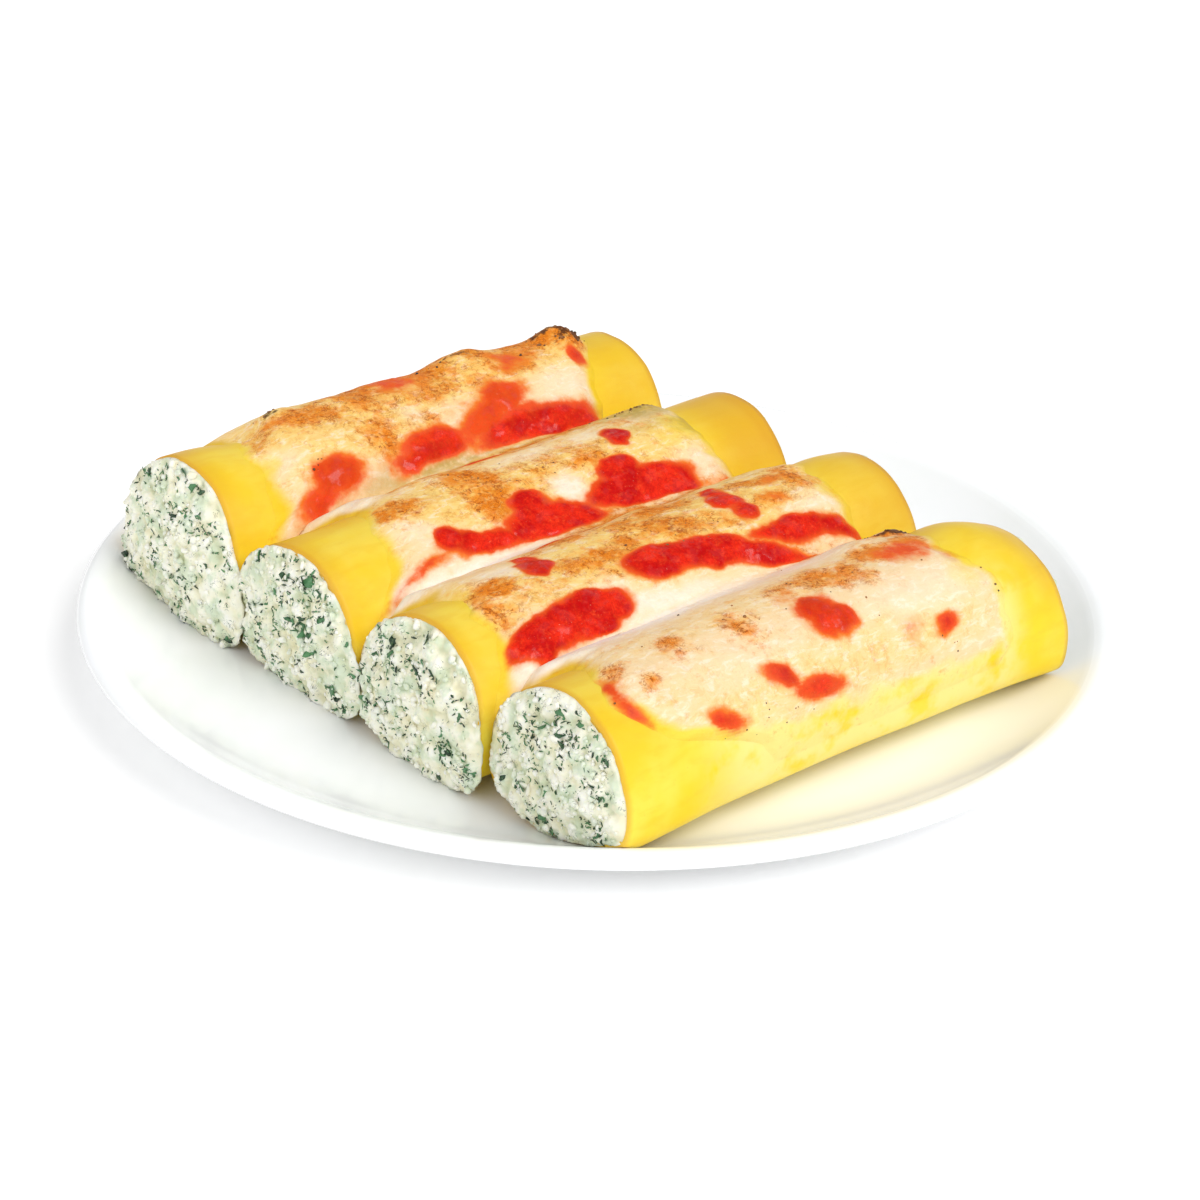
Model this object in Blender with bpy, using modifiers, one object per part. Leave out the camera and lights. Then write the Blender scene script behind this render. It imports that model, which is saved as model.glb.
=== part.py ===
"""Four filled pasta rolls under one cheese cover, side by side on a round coupe plate.

Metres, +Z up.  The plate stands centred on the origin with its foot ring at
z = 0.  The rolls lie along X: their open, filled ends point to -X and +X.
Roll 1 is the back one (+Y), roll 4 the front one (-Y).
"""
import math

import bmesh
import bpy
from mathutils import Vector
from mathutils.bvhtree import BVHTree

for old in list(bpy.data.objects):
    bpy.data.objects.remove(old, do_unlink=True)

# ---------------------------------------------------------------- dimensions
GAP = 0.0003                # clear space kept between neighbouring pieces

PLATE_RADIUS = 0.110        # across the lip
PLATE_BASE = 0.0050         # top of the flat well above the table
WELL_RADIUS = 0.0830        # where the flat well starts to rise
LIP_RADIUS = 0.1050         # where the rising wall meets the rounded lip
LIP_HEIGHT = 0.0128
PLATE_WALL = 0.0035         # thickness of the pottery
FOOT_OUTER, FOOT_INNER = 0.0665, 0.0600
PLATE_STEPS = 56

PASTA_WALL = 0.0013         # one rolled sheet of egg pasta
RING_POINTS = 20            # points round one roll
BELLY = 0.30                # the widest level of a roll, as a share of its height
STATIONS = (0.0, 0.08, 0.25, 0.5, 0.75, 0.92, 1.0)      # rings along one roll

COVER_SEAT = 0.0004         # clear space under the melted cheese
COVER_THICK = 0.0016        # melted cheese over the crest of a roll
COVER_EDGE = 0.0006         # its thinned-out edge
POOL_ENDS = 0.0105          # how far the cheese between two rolls lies below their
POOL_MIDDLE = 0.0058        # tops: at the ends, and half way along where it pooled
POOL_REACH = 0.013          # half the width of that pooled strip

# Each roll, at five stations from the near (-X) end to the far (+X) end: its
# sides (y), the height of its top above the well, and how square it sits on
# its lower corners (0 round, 1 boxy).  Then its two ends (x), how far its crest
# leans towards the front, how far the top of the near end slopes back, and how
# far the filling swells out of each end.
ROLLS = [
    dict(near=-0.0692, far=0.0500, lean=0.0000, slope=0.0024, swell=(0.0042, 0.0020),
         left=(0.0750, 0.0742, 0.0738, 0.0740, 0.0742),
         right=(0.0335, 0.0333, 0.0333, 0.0335, 0.0337),
         height=(0.0360, 0.0370, 0.0366, 0.0370, 0.0366),
         square=(0.70, 0.60, 0.60, 0.60, 0.60)),
    dict(near=-0.0687, far=0.0520, lean=0.0004, slope=0.0006, swell=(0.0024, 0.0016),
         left=(0.0335, 0.0333, 0.0333, 0.0335, 0.0337),
         right=(-0.0062, -0.0060, -0.0056, -0.0056, -0.0058),
         height=(0.0312, 0.0322, 0.0330, 0.0338, 0.0344),
         square=(0.70, 0.60, 0.60, 0.60, 0.60)),
    dict(near=-0.0677, far=0.0525, lean=0.0012, slope=0.0026, swell=(0.0032, 0.0016),
         left=(-0.0062, -0.0060, -0.0056, -0.0056, -0.0058),
         right=(-0.0440, -0.0436, -0.0432, -0.0434, -0.0436),
         height=(0.0311, 0.0318, 0.0324, 0.0330, 0.0332),
         square=(0.70, 0.60, 0.60, 0.60, 0.60)),
    dict(near=-0.0650, far=0.0552, lean=0.0006, slope=0.0028, swell=(0.0024, 0.0018),
         left=(-0.0440, -0.0436, -0.0432, -0.0434, -0.0436),
         right=(-0.0828, -0.0814, -0.0812, -0.0818, -0.0832),
         height=(0.0308, 0.0312, 0.0316, 0.0318, 0.0312),
         square=(0.30, 0.28, 0.28, 0.34, 0.45)),
]

# How far the cheese stops short of the near and far ends of each roll, read
# on its left flank, its crest and its right flank.
BARE_NEAR = [(0.013, 0.014, 0.009), (0.020, 0.016, 0.006),
             (0.010, 0.011, 0.006), (0.008, 0.011, 0.009)]
BARE_FAR = [(0.004, 0.008, 0.016), (0.015, 0.015, 0.014),
            (0.014, 0.014, 0.014), (0.012, 0.017, 0.015)]
# Angles of the outermost edges of the cheese on roll 1 and roll 4, seen along
# the roll from the left horizontal.
COVER_FROM, COVER_TO = 18.0, 171.0
# Baked bubbles and lumps in the cheese: (x, y, radius, height)
LUMPS = [(0.036, 0.051, 0.010, 0.0020), (0.004, 0.053, 0.016, 0.0012),
         (-0.022, 0.055, 0.011, 0.0009), (-0.045, 0.057, 0.008, 0.0010),
         (0.030, -0.052, 0.012, 0.0010)]

# Spoonfuls of chopped tomato lying on the cheese:
# (x, y, length, width, turn in degrees from the X axis, height)
TOMATO = [
    (-0.0396, 0.0374, 0.0125, 0.0060, -8.0, 0.0016),    # roll 1, near end
    (-0.0138, 0.0382, 0.0135, 0.0042, 2.0, 0.0014),     # roll 1, front flank
    (0.0165, 0.0362, 0.0190, 0.0044, -3.0, 0.0014),     # between rolls 1 and 2
    (0.0072, 0.0428, 0.0100, 0.0056, 20.0, 0.0012),     # above it on roll 1
    (0.0136, 0.0108, 0.0100, 0.0034, -60.0, 0.0010),    # top of roll 2
    (0.0092, -0.0002, 0.0280, 0.0088, -3.0, 0.0022),    # largest, between rolls 2 and 3
    (-0.0136, -0.0016, 0.0170, 0.0084, -8.0, 0.0022),   # beside it
    (-0.0340, -0.0010, 0.0170, 0.0056, -10.0, 0.0018),  # the neck running on from it
    (-0.0384, -0.0252, 0.0062, 0.0092, 20.0, 0.0012),   # small, top of roll 3
    (-0.0040, -0.0370, 0.0370, 0.0054, -12.0, 0.0016),  # long one along roll 3
    (0.0114, -0.0262, 0.0062, 0.0136, 10.0, 0.0013),    # across roll 3
    (0.0228, -0.0386, 0.0230, 0.0036, -7.0, 0.0014),    # far end of roll 3
    (-0.0425, -0.0398, 0.0280, 0.0056, 2.0, 0.0022),    # between rolls 3 and 4
    (-0.0046, -0.0712, 0.0100, 0.0080, -50.0, 0.0014),  # roll 4, middle
]


# ------------------------------------------------------------------- helpers
def colour(name, rgb, roughness, coat=0.0):
    """A Principled material with plain values."""
    mat = bpy.data.materials.new(name)
    mat.use_nodes = True
    shader = mat.node_tree.nodes["Principled BSDF"]
    shader.inputs["Base Color"].default_value = (*rgb, 1.0)
    shader.inputs["Roughness"].default_value = roughness
    shader.inputs["Coat Weight"].default_value = coat
    return mat


food = bpy.data.collections.new("cannelloni_plate")
bpy.context.scene.collection.children.link(food)


def add_piece(name, bm, material):
    """Turn a bmesh into one smooth-shaded object with outward normals."""
    bmesh.ops.recalc_face_normals(bm, faces=bm.faces)
    mesh = bpy.data.meshes.new(name)
    bm.to_mesh(mesh)
    bm.free()
    for face in mesh.polygons:
        face.use_smooth = True
    mesh.materials.append(material)
    obj = bpy.data.objects.new(name, mesh)
    food.objects.link(obj)
    return obj


def along(values, t):
    """Smooth value at t (0..1) of a list of evenly spaced stations."""
    t = min(max(t, 0.0), 1.0) * (len(values) - 1)
    i = min(int(t), len(values) - 2)
    f = t - i
    f = f * f * (3.0 - 2.0 * f)
    return values[i] * (1.0 - f) + values[i + 1] * f


def plate_top(x, y):
    """Height of the glazed top of the plate: flat well, rising wall, rounded lip."""
    r = math.hypot(x, y)
    t = min(max((r - WELL_RADIUS) / (LIP_RADIUS - WELL_RADIUS), 0.0), 1.0)
    lip = min(max(r - LIP_RADIUS, 0.0) * 0.36, 0.0007)
    return PLATE_BASE + (LIP_HEIGHT - PLATE_BASE) * t * t + lip


def smooth_max(a, b, k):
    """The larger of two heights, with the corner between them rounded by k."""
    h = max(k - abs(a - b), 0.0) / k
    return max(a, b) + h * h * k * 0.25


# --------------------------------------------------------------------- plate
def build_plate():
    profile = [(0.0, PLATE_BASE), (0.040, PLATE_BASE), (WELL_RADIUS, PLATE_BASE)]
    for i in range(1, 6):
        r = WELL_RADIUS + (LIP_RADIUS - WELL_RADIUS) * i / 5
        profile.append((r, plate_top(r, 0.0)))
    profile += [(0.1067, 0.0134), (0.1085, 0.0134), (PLATE_RADIUS, 0.0121), (0.1094, 0.0107)]
    for r in (0.1040, 0.0950, 0.0840):
        profile.append((r, plate_top(r, 0.0) - PLATE_WALL))
    profile += [(FOOT_OUTER + 0.0016, 0.0012), (FOOT_OUTER, 0.0), (FOOT_INNER, 0.0),
                (FOOT_INNER - 0.0014, PLATE_BASE - PLATE_WALL + 0.0004),
                (0.0, PLATE_BASE - PLATE_WALL + 0.0004)]
    mesh = bpy.data.meshes.new("plate")
    mesh.from_pydata([(r, 0.0, z) for r, z in profile],
                     [(i, i + 1) for i in range(len(profile) - 1)], [])
    mesh.materials.append(colour("white_glaze", (0.90, 0.91, 0.88), 0.12, 0.4))
    plate = bpy.data.objects.new("plate", mesh)
    food.objects.link(plate)
    turn = plate.modifiers.new("turn", 'SCREW')
    turn.angle = math.radians(360.0)
    turn.steps = turn.render_steps = PLATE_STEPS
    turn.axis = 'Z'
    turn.use_merge_vertices = True
    turn.merge_threshold = 0.00001
    turn.use_smooth_shade = True
    return plate


# --------------------------------------------------------------------- rolls
def roll_shape(roll, x):
    """Middle, half width, belly level and crest of a roll at x."""
    t = (x - roll["near"]) / (roll["far"] - roll["near"])
    left, right = along(roll["left"], t), along(roll["right"], t)
    height = along(roll["height"], t)
    belly = PLATE_BASE + BELLY * height
    return (left + right) / 2, (left - right) / 2, belly, PLATE_BASE + height


def slope_back(roll, x, z):
    """How far the near end leans back at height z, fading out along the roll."""
    fade = max(1.0 - (x - roll["near"]) / 0.030, 0.0)
    rise = max(z - PLATE_BASE, 0.0) / roll["height"][0]
    return roll["slope"] * fade * fade * (rise - 0.4)


def ring(roll, x, inset, shrink=1.0, x_out=None):
    """Closed outline of a roll at x, pulled in by inset and scaled by shrink."""
    mid, half, belly, top = roll_shape(roll, x)
    half -= inset + GAP / 2
    square = along(roll["square"], (x - roll["near"]) / (roll["far"] - roll["near"]))
    centre = (belly + top) / 2 - 0.003
    points = []
    for i in range(RING_POINTS):
        a = 2.0 * math.pi * i / RING_POINTS
        c, s = math.cos(a), math.sin(a)
        y = mid + half * math.copysign(abs(c) ** 0.92, c)
        if s >= 0.0:
            z = belly + (top - inset - belly) * s ** 0.92
            y -= roll["lean"] * s * s
        else:
            z = belly - (belly - PLATE_BASE - GAP - inset) * abs(s) ** (1.0 - 0.6 * square)
            y -= math.copysign(0.0050 * (1.0 - square) * s * s * min(1.0, 6.0 * abs(c)), c)
        back = slope_back(roll, x, z)
        z = max(z, plate_top(x + back, y) + GAP + inset)
        y = mid + (y - mid) * shrink
        z = centre + (z - centre) * shrink
        points.append(Vector(((x if x_out is None else x_out) + back, y, z)))
    return points


def skin(bm, rings, closed):
    """Faces between consecutive rings; closed joins the last ring to the first."""
    verts = [[bm.verts.new(p) for p in r] for r in rings]
    n = len(verts[0])
    pairs = list(zip(verts, verts[1:]))
    if closed:
        pairs.append((verts[-1], verts[0]))
    for a, b in pairs:
        for i in range(n):
            j = (i + 1) % n
            bm.faces.new((a[i], a[j], b[j], b[i]))
    return verts


def build_pasta(number, roll):
    xs = [roll["near"] + (roll["far"] - roll["near"]) * t for t in STATIONS]
    outer = [ring(roll, x, 0.0) for x in xs]
    inner = [ring(roll, x, PASTA_WALL) for x in reversed(xs)]
    bm = bmesh.new()
    skin(bm, outer + inner, closed=True)
    return add_piece("pasta_%d" % number, bm, PASTA)


def build_filling(number, roll):
    inset = PASTA_WALL + 2 * GAP
    near, far = roll["near"], roll["far"]
    out_near, out_far = roll["swell"]
    rings = [ring(roll, near, inset, 0.40, near - out_near),
             ring(roll, near, inset, 0.80, near - 0.80 * out_near),
             ring(roll, near, inset, 0.97, near - 0.25 * out_near)]
    for t in STATIONS:
        rings.append(ring(roll, near + (far - near) * t, inset))
    rings += [ring(roll, far, inset, 0.97, far + 0.25 * out_far),
              ring(roll, far, inset, 0.80, far + 0.80 * out_far),
              ring(roll, far, inset, 0.40, far + out_far)]
    bm = bmesh.new()
    verts = skin(bm, rings, closed=False)
    bm.faces.new(verts[0])
    bm.faces.new(list(reversed(verts[-1])))
    return add_piece("filling_%d" % number, bm, RICOTTA)


# --------------------------------------------------------------- cheese cover
def roll_top(roll, x, y, lift):
    """Height of the upper half of a roll at (x, y), grown outwards by lift."""
    mid, half, belly, top = roll_shape(roll, x)
    reach = abs(y - mid) / (half + lift)
    if reach >= 1.0:
        return belly
    c = reach ** (1.0 / 0.92)
    s = math.sqrt(1.0 - c * c)
    for _ in range(3):      # the crest leans, so look again at the shifted place
        reach = min(abs(y + roll["lean"] * s * s - mid) / (half + lift), 1.0)
        c = reach ** (1.0 / 0.92)
        s = math.sqrt(max(1.0 - c * c, 0.0))
    return belly + (top + lift - belly) * s ** 0.92


def cover_height(x, y, lift, rounding):
    """Height of a layer lifted off all four rolls, with rounded valleys."""
    z = 0.0
    for roll in ROLLS:
        h = roll_top(roll, x, y, lift)
        z = h if z == 0.0 else smooth_max(z, h, rounding)
    return z


def cheese_top(x, y, thick=COVER_THICK):
    """Height of the melted cheese: pooled in the valleys, lumpy on the crests."""
    z = cover_height(x, y, COVER_SEAT + thick, 0.003)
    middle = max(1.0 - ((x + 0.006) / 0.050) ** 2, 0.0)
    for roll, follow in zip(ROLLS, ROLLS[1:]):
        mid, half, belly, top = roll_shape(roll, x)
        away = (y - (mid - half)) / POOL_REACH
        if abs(away) < 1.0:
            lower = min(top, roll_shape(follow, x)[3])
            level = lower - POOL_ENDS + (POOL_ENDS - POOL_MIDDLE) * middle
            z = smooth_max(z, level - 0.0015 * away * away, 0.0035 * (1.0 - away * away) + 1e-6)
    for cx, cy, radius, height in LUMPS:
        away = math.hypot(x - cx, y - cy) / radius
        if away < 1.0:
            z += height * (1.0 - away * away) ** 2
    return z


def cover_columns():
    """Places across the rolls where the cover is measured: (roll, y share)."""
    columns = []
    for number in range(4):
        step = 360.0 / RING_POINTS
        first = COVER_FROM if number == 0 else 2 * step
        last = COVER_TO if number == 3 else 180.0 - 2 * step
        for i in range(int((last - first) / step + 0.01) + 1):
            columns.append((number, first + step * i))
        if columns[-1][1] < last:
            columns.append((number, last))
        if number < 3:
            columns.append((number, 180.0))
    return columns


def build_cover():
    columns = cover_columns()
    stations = [0.0, 0.03, 0.12, 0.25, 0.38, 0.5, 0.62, 0.75, 0.88, 0.97, 1.0]
    bm = bmesh.new()
    grid = []
    for t in stations:
        upper, lower = [], []
        for k, (number, angle) in enumerate(columns):
            roll = ROLLS[number]
            share = angle / 180.0
            x0 = roll["near"] + along(BARE_NEAR[number], share)
            x1 = roll["far"] - along(BARE_FAR[number], share)
            if angle == 180.0:
                follow = ROLLS[number + 1]
                x0 = (x0 + follow["near"] + BARE_NEAR[number + 1][0]) / 2
                x1 = (x1 + follow["far"] - BARE_FAR[number + 1][0]) / 2
            x = x0 + (x1 - x0) * t
            mid, half, belly, top = roll_shape(roll, x)
            edge = min(t, 1.0 - t) / 0.06
            if number == 0:
                edge = min(edge, (angle - COVER_FROM) / 18.0)
            if number == 3:
                edge = min(edge, (COVER_TO - angle) / 18.0)
            edge = min(max(edge, 0.0), 1.0)
            thick = COVER_EDGE + (COVER_THICK - COVER_EDGE) * edge
            a = math.radians(angle)
            c, s = math.cos(a), math.sin(a)
            outside = (number == 0 and angle < 60.0) or (number == 3 and angle > 120.0)
            for lift, row in ((COVER_SEAT + thick, upper), (COVER_SEAT, lower)):
                if outside:
                    y = mid + (half + lift) * math.copysign(abs(c) ** 0.92, c)
                    y -= roll["lean"] * s * s
                    z = belly + (top + lift - belly) * s ** 0.92
                else:
                    y = mid + half * math.copysign(abs(c) ** 0.92, c)
                    if row is upper:
                        z = cheese_top(x, y, thick)
                    else:
                        z = cover_height(x, y, lift, 0.0015)
                row.append(bm.verts.new((x, y, z)))
        grid.append((upper, lower))
    last = len(columns) - 1
    for (ua, la), (ub, lb) in zip(grid, grid[1:]):
        for k in range(last):
            bm.faces.new((ua[k], ua[k + 1], ub[k + 1], ub[k]))
            bm.faces.new((la[k + 1], la[k], lb[k], lb[k + 1]))
        bm.faces.new((ua[0], ub[0], lb[0], la[0]))
        bm.faces.new((ub[last], ua[last], la[last], lb[last]))
    for (upper, lower), flip in ((grid[0], False), (grid[-1], True)):
        for k in range(last):
            face = (upper[k + 1], upper[k], lower[k], lower[k + 1])
            bm.faces.new(tuple(reversed(face)) if flip else face)
    return add_piece("cheese_cover", bm, CHEESE)


# ------------------------------------------------------------ tomato spoonfuls
def seat_on(surface, x, y):
    """Height of the built cheese straight below (x, y)."""
    hit = surface.ray_cast(Vector((x, y, 0.08)), Vector((0.0, 0.0, -1.0)))
    return hit[0].z


def build_tomato(number, spec, cheese):
    x0, y0, length, width, turn, height = spec
    turn = math.radians(turn)
    bm = bmesh.new()
    count = 10
    rows = []
    for scale, rise in ((1.0, 0.25), (0.90, 0.75), (0.5, 1.0)):
        row = []
        for i in range(count):
            a = 2.0 * math.pi * i / count
            wobble = 1.0 + 0.10 * math.sin(3.0 * a + number) + 0.06 * math.cos(2.0 * a + 2 * number)
            u = 0.5 * length * scale * wobble * math.cos(a)
            v = 0.5 * width * scale * wobble * math.sin(a)
            x = x0 + u * math.cos(turn) - v * math.sin(turn)
            y = y0 + u * math.sin(turn) + v * math.cos(turn)
            base = seat_on(cheese, x, y)
            row.append((x, y, base, rise * height))
        rows.append(row)
    gap = 0.0005
    top = [[bm.verts.new((x, y, base + gap + rise)) for x, y, base, rise in row] for row in rows]
    low = [[bm.verts.new((x, y, base + gap)) for x, y, base, rise in row] for row in (rows[0], rows[2])]
    zc = seat_on(cheese, x0, y0)
    crown = bm.verts.new((x0, y0, zc + gap + height * 1.05))
    seat = bm.verts.new((x0, y0, zc + gap))
    for a, b in ((low[1], low[0]), (low[0], top[0]), (top[0], top[1]), (top[1], top[2])):
        for i in range(count):
            j = (i + 1) % count
            bm.faces.new((a[i], a[j], b[j], b[i]))
    for i in range(count):
        j = (i + 1) % count
        bm.faces.new((top[2][i], top[2][j], crown))
        bm.faces.new((low[1][j], low[1][i], seat))
    return add_piece("tomato_%02d" % number, bm, SAUCE)


PASTA = colour("egg_pasta", (0.85, 0.60, 0.08), 0.35)
RICOTTA = colour("ricotta_spinach", (0.83, 0.86, 0.70), 0.60)
CHEESE = colour("melted_cheese", (0.93, 0.80, 0.62), 0.40)
SAUCE = colour("chopped_tomato", (0.70, 0.05, 0.02), 0.25)

build_plate()
for count, roll in enumerate(ROLLS, start=1):
    build_pasta(count, roll)
    build_filling(count, roll)
cover = build_cover()
bpy.context.view_layer.update()
cheese = BVHTree.FromObject(cover, bpy.context.evaluated_depsgraph_get())
for count, spec in enumerate(TOMATO, start=1):
    build_tomato(count, spec, cheese)
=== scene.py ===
# %% [markdown]
# # Cannelloni with ricotta and spinach on a white plate
# Four rolls of fresh egg pasta lie side by side on a shallow plate. Each is
# stuffed with ricotta and chopped spinach, and one sheet of melted cheese with
# spoonfuls of tomato lies over all four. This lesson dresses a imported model:
# the frame below holds every solid at its real size, and each step replaces
# one of them with a finer mesh and gives it a procedural finish.

# %% Load the fixed frame
import math

import bmesh
import bpy
import numpy as np
from mathutils import Matrix, Vector


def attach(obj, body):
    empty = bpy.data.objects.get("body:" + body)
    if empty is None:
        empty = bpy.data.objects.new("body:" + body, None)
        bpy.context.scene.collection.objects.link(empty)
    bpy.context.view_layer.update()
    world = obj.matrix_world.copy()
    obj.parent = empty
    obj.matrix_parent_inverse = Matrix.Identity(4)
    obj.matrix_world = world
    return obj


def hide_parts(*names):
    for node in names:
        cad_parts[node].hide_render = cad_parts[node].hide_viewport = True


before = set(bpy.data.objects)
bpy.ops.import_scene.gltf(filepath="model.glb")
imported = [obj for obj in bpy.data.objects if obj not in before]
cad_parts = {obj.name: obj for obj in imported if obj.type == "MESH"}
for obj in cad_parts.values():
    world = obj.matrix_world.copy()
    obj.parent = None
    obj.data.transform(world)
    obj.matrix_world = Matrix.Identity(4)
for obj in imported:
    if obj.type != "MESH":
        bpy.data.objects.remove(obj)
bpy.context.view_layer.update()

mm = 0.001

# %% [markdown]
# ## From points to a piece
# A food surface is thousands of points, so the shapes are worked out in numpy
# and turned into a Blender mesh in one go. Named values on the points, called
# masks here, tell the materials what happens where: how golden the pasta is,
# where the cheese browned, where the tomato lies.

# %% One piece of the dish
def make_piece(name, points, faces, finish, masks, stands_for=()):
    """One smooth mesh object that rides on the dish, with a value per point for each mask."""
    mesh = bpy.data.meshes.new(name)
    mesh.from_pydata(np.asarray(points, float).reshape(-1, 3).tolist(), [], faces)
    mesh.shade_smooth()
    for key, values in masks.items():
        layer = mesh.attributes.new(key, "FLOAT", "POINT")
        layer.data.foreach_set("value", np.asarray(values, np.float32).ravel())
    mesh.materials.append(finish)
    piece = bpy.data.objects.new(name, mesh)
    bpy.context.scene.collection.objects.link(piece)
    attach(piece, "root")
    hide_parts(*stands_for)
    print(name, "points", len(mesh.vertices), "faces", len(mesh.polygons))
    return piece


# %% [markdown]
# ## Slabs and tubes
# Cheese and sauce are slabs: a grid of points on top, the same grid a little
# lower, and a wall of faces round the border. Pasta and plate are tubes: rings
# of points joined one after the other. The way a grid runs also gives its
# normals, which are needed to raise lumps straight out of a surface.

# %% Grids of points
def slab(top, bottom, masks, keep=None):
    """Points, faces and masks of a closed slab between two grids; keep says which cells are in it."""
    rows, columns = top.shape[:2]
    if keep is None:
        keep = np.ones((rows - 1, columns - 1), bool)
    number = np.arange(rows * columns).reshape(rows, columns)
    i, j = np.nonzero(keep)
    upper = np.stack([number[i, j], number[i, j + 1], number[i + 1, j + 1], number[i + 1, j]], 1)
    lower = upper[:, ::-1] + rows * columns
    padded = np.pad(keep, 1)
    walls = []
    for di, dj, a, b in ((-1, 0, (0, 0), (0, 1)), (1, 0, (1, 1), (1, 0)),
                         (0, -1, (1, 0), (0, 0)), (0, 1, (0, 1), (1, 1))):
        i, j = np.nonzero(keep & ~padded[1 + di:rows + di, 1 + dj:columns + dj])
        p = number[i + a[0], j + a[1]]
        q = number[i + b[0], j + b[1]]
        walls.append(np.stack([q, p, p + rows * columns, q + rows * columns], 1))
    faces = np.concatenate([upper, lower] + walls)
    used, faces = np.unique(faces, return_inverse=True)
    points = np.concatenate([top.reshape(-1, 3), bottom.reshape(-1, 3)])[used]
    on_both = {key: np.concatenate([value.ravel(), value.ravel()])[used] for key, value in masks.items()}
    return points, faces.reshape(-1, 4).tolist(), on_both


def tube_faces(rings, points_per_ring, closed):
    """Faces between consecutive rings; closed joins the last ring to the first."""
    number = np.arange(rings * points_per_ring).reshape(rings, points_per_ring)
    following = np.roll(number, -1, 0) if closed else number[1:]
    number = number if closed else number[:-1]
    cells = [number, np.roll(number, -1, 1), np.roll(following, -1, 1), following]
    return np.stack(cells, -1).reshape(-1, 4)[:, ::-1].tolist()


def normals_of(grid):
    """Unit normals of a grid of points, from the way it runs in its two directions."""
    across = np.cross(np.gradient(grid, axis=1), np.gradient(grid, axis=0))
    return across / np.maximum(np.linalg.norm(across, axis=-1, keepdims=True), 1e-12)


print("faces of a tube of 3 rings of 8 points:", len(tube_faces(3, 8, False)))

# %% [markdown]
# ## Natural irregularity
# Nothing baked is smooth. `hills` gives soft random hills of a chosen size and
# `curds` gives packed lumps such as ricotta breaks into. Both work from the
# place in space alone, so every run makes the same dish.

# %% Repeatable noise
LOW_BITS = 0xFFFFFFFF
BEYOND_ANY_CURD = 9.0


def lattice(i, j, k, seed):
    """A repeatable number from 0 to 1 for each corner of an endless grid: large odd factors mix its bits."""
    n = (i * 374761393 + j * 668265263 + k * 1440662683 + seed * 1013904223) & LOW_BITS
    n = ((n ^ (n >> 13)) * 1274126177) & LOW_BITS
    n = ((n ^ (n >> 15)) * 668265263) & LOW_BITS
    return (n ^ (n >> 16)) / LOW_BITS


def hills(p, size, seed):
    """Soft random hills from -1 to 1 at the points p, each hill about size across."""
    q = p / size
    corner = np.floor(q).astype(np.int64)
    f = q - corner
    f = f * f * f * (f * (f * 6 - 15) + 10)
    total = 0.0
    for step in range(8):
        a, b, c = step & 1, step >> 1 & 1, step >> 2
        share = (f[..., 0] if a else 1 - f[..., 0]) * (f[..., 1] if b else 1 - f[..., 1])
        share = share * (f[..., 2] if c else 1 - f[..., 2])
        total = total + share * lattice(corner[..., 0] + a, corner[..., 1] + b, corner[..., 2] + c, seed)
    return total * 2 - 1


def uneven(p, *layers):
    """Hills of several sizes on top of each other; each layer is a height and a size in mm, and a seed."""
    return sum(height * hills(p, size * mm, seed) for height, size, seed in layers)


def curds(p, size, seed):
    """Distance to the middle of the nearest curd, 0 at its middle, and that curd's own number."""
    q = p / size
    corner = np.floor(q).astype(np.int64)
    near = np.full(q.shape[:-1], BEYOND_ANY_CURD)
    own = np.zeros(q.shape[:-1])
    for step in range(27):
        cell = corner + np.array([step % 3 - 1, step // 3 % 3 - 1, step // 9 - 1])
        i, j, k = cell[..., 0], cell[..., 1], cell[..., 2]
        middle = cell + np.stack([lattice(i, j, k, seed + s) for s in (1, 2, 3)], -1)
        away = np.linalg.norm(q - middle, axis=-1)
        closer = away < near
        near = np.where(closer, away, near)
        own = np.where(closer, lattice(i, j, k, seed + 4), own)
    return near, own


def ease(value, low, high):
    """0 below low, 1 above high, and a soft step between them."""
    t = np.clip((value - low) / (high - low), 0, 1)
    return t * t * (3 - 2 * t)


print("a hill half way up its side:", round(float(hills(np.array([0.3, 0.6, 0.9]), 1.0, 0)), 3))

# %% [markdown]
# ## The shape of the dish
# The plate is a turned coupe shape, and each roll is a soft arch that sits
# heavily on its lower corners. The same few sections that the solids were
# built from are used again, so that every finer piece lands where its solid
# is. Roll 1 is the back one (+Y), roll 4 the front one (-Y).

# %% Plate and roll sections
PLATE_BASE, WELL_RADIUS, LIP_RADIUS, LIP_HEIGHT = 5.0 * mm, 83 * mm, 105 * mm, 12.8 * mm
PLATE_RADIUS, PLATE_WALL = 110 * mm, 3.5 * mm
LIP_SLOPE, LIP_RISE = 0.36, 0.7 * mm
PASTA_WALL, GAP, BELLY = 1.3 * mm, 0.3 * mm, 0.30
ARCH = 0.92          # how full the arch of a roll is; 1 would be an ellipse
SIDES = [(75.0, 74.2, 73.8, 74.0, 74.2), (33.5, 33.3, 33.3, 33.5, 33.7), (-6.2, -6.0, -5.6, -5.6, -5.8),
         (-44.0, -43.6, -43.2, -43.4, -43.6), (-82.8, -81.4, -81.2, -81.8, -83.2)]     # y between the rolls
SOFT_CORNERS, FIRM_CORNERS = (.70, .60, .60, .60, .60), (.30, .28, .28, .34, .45)
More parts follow.
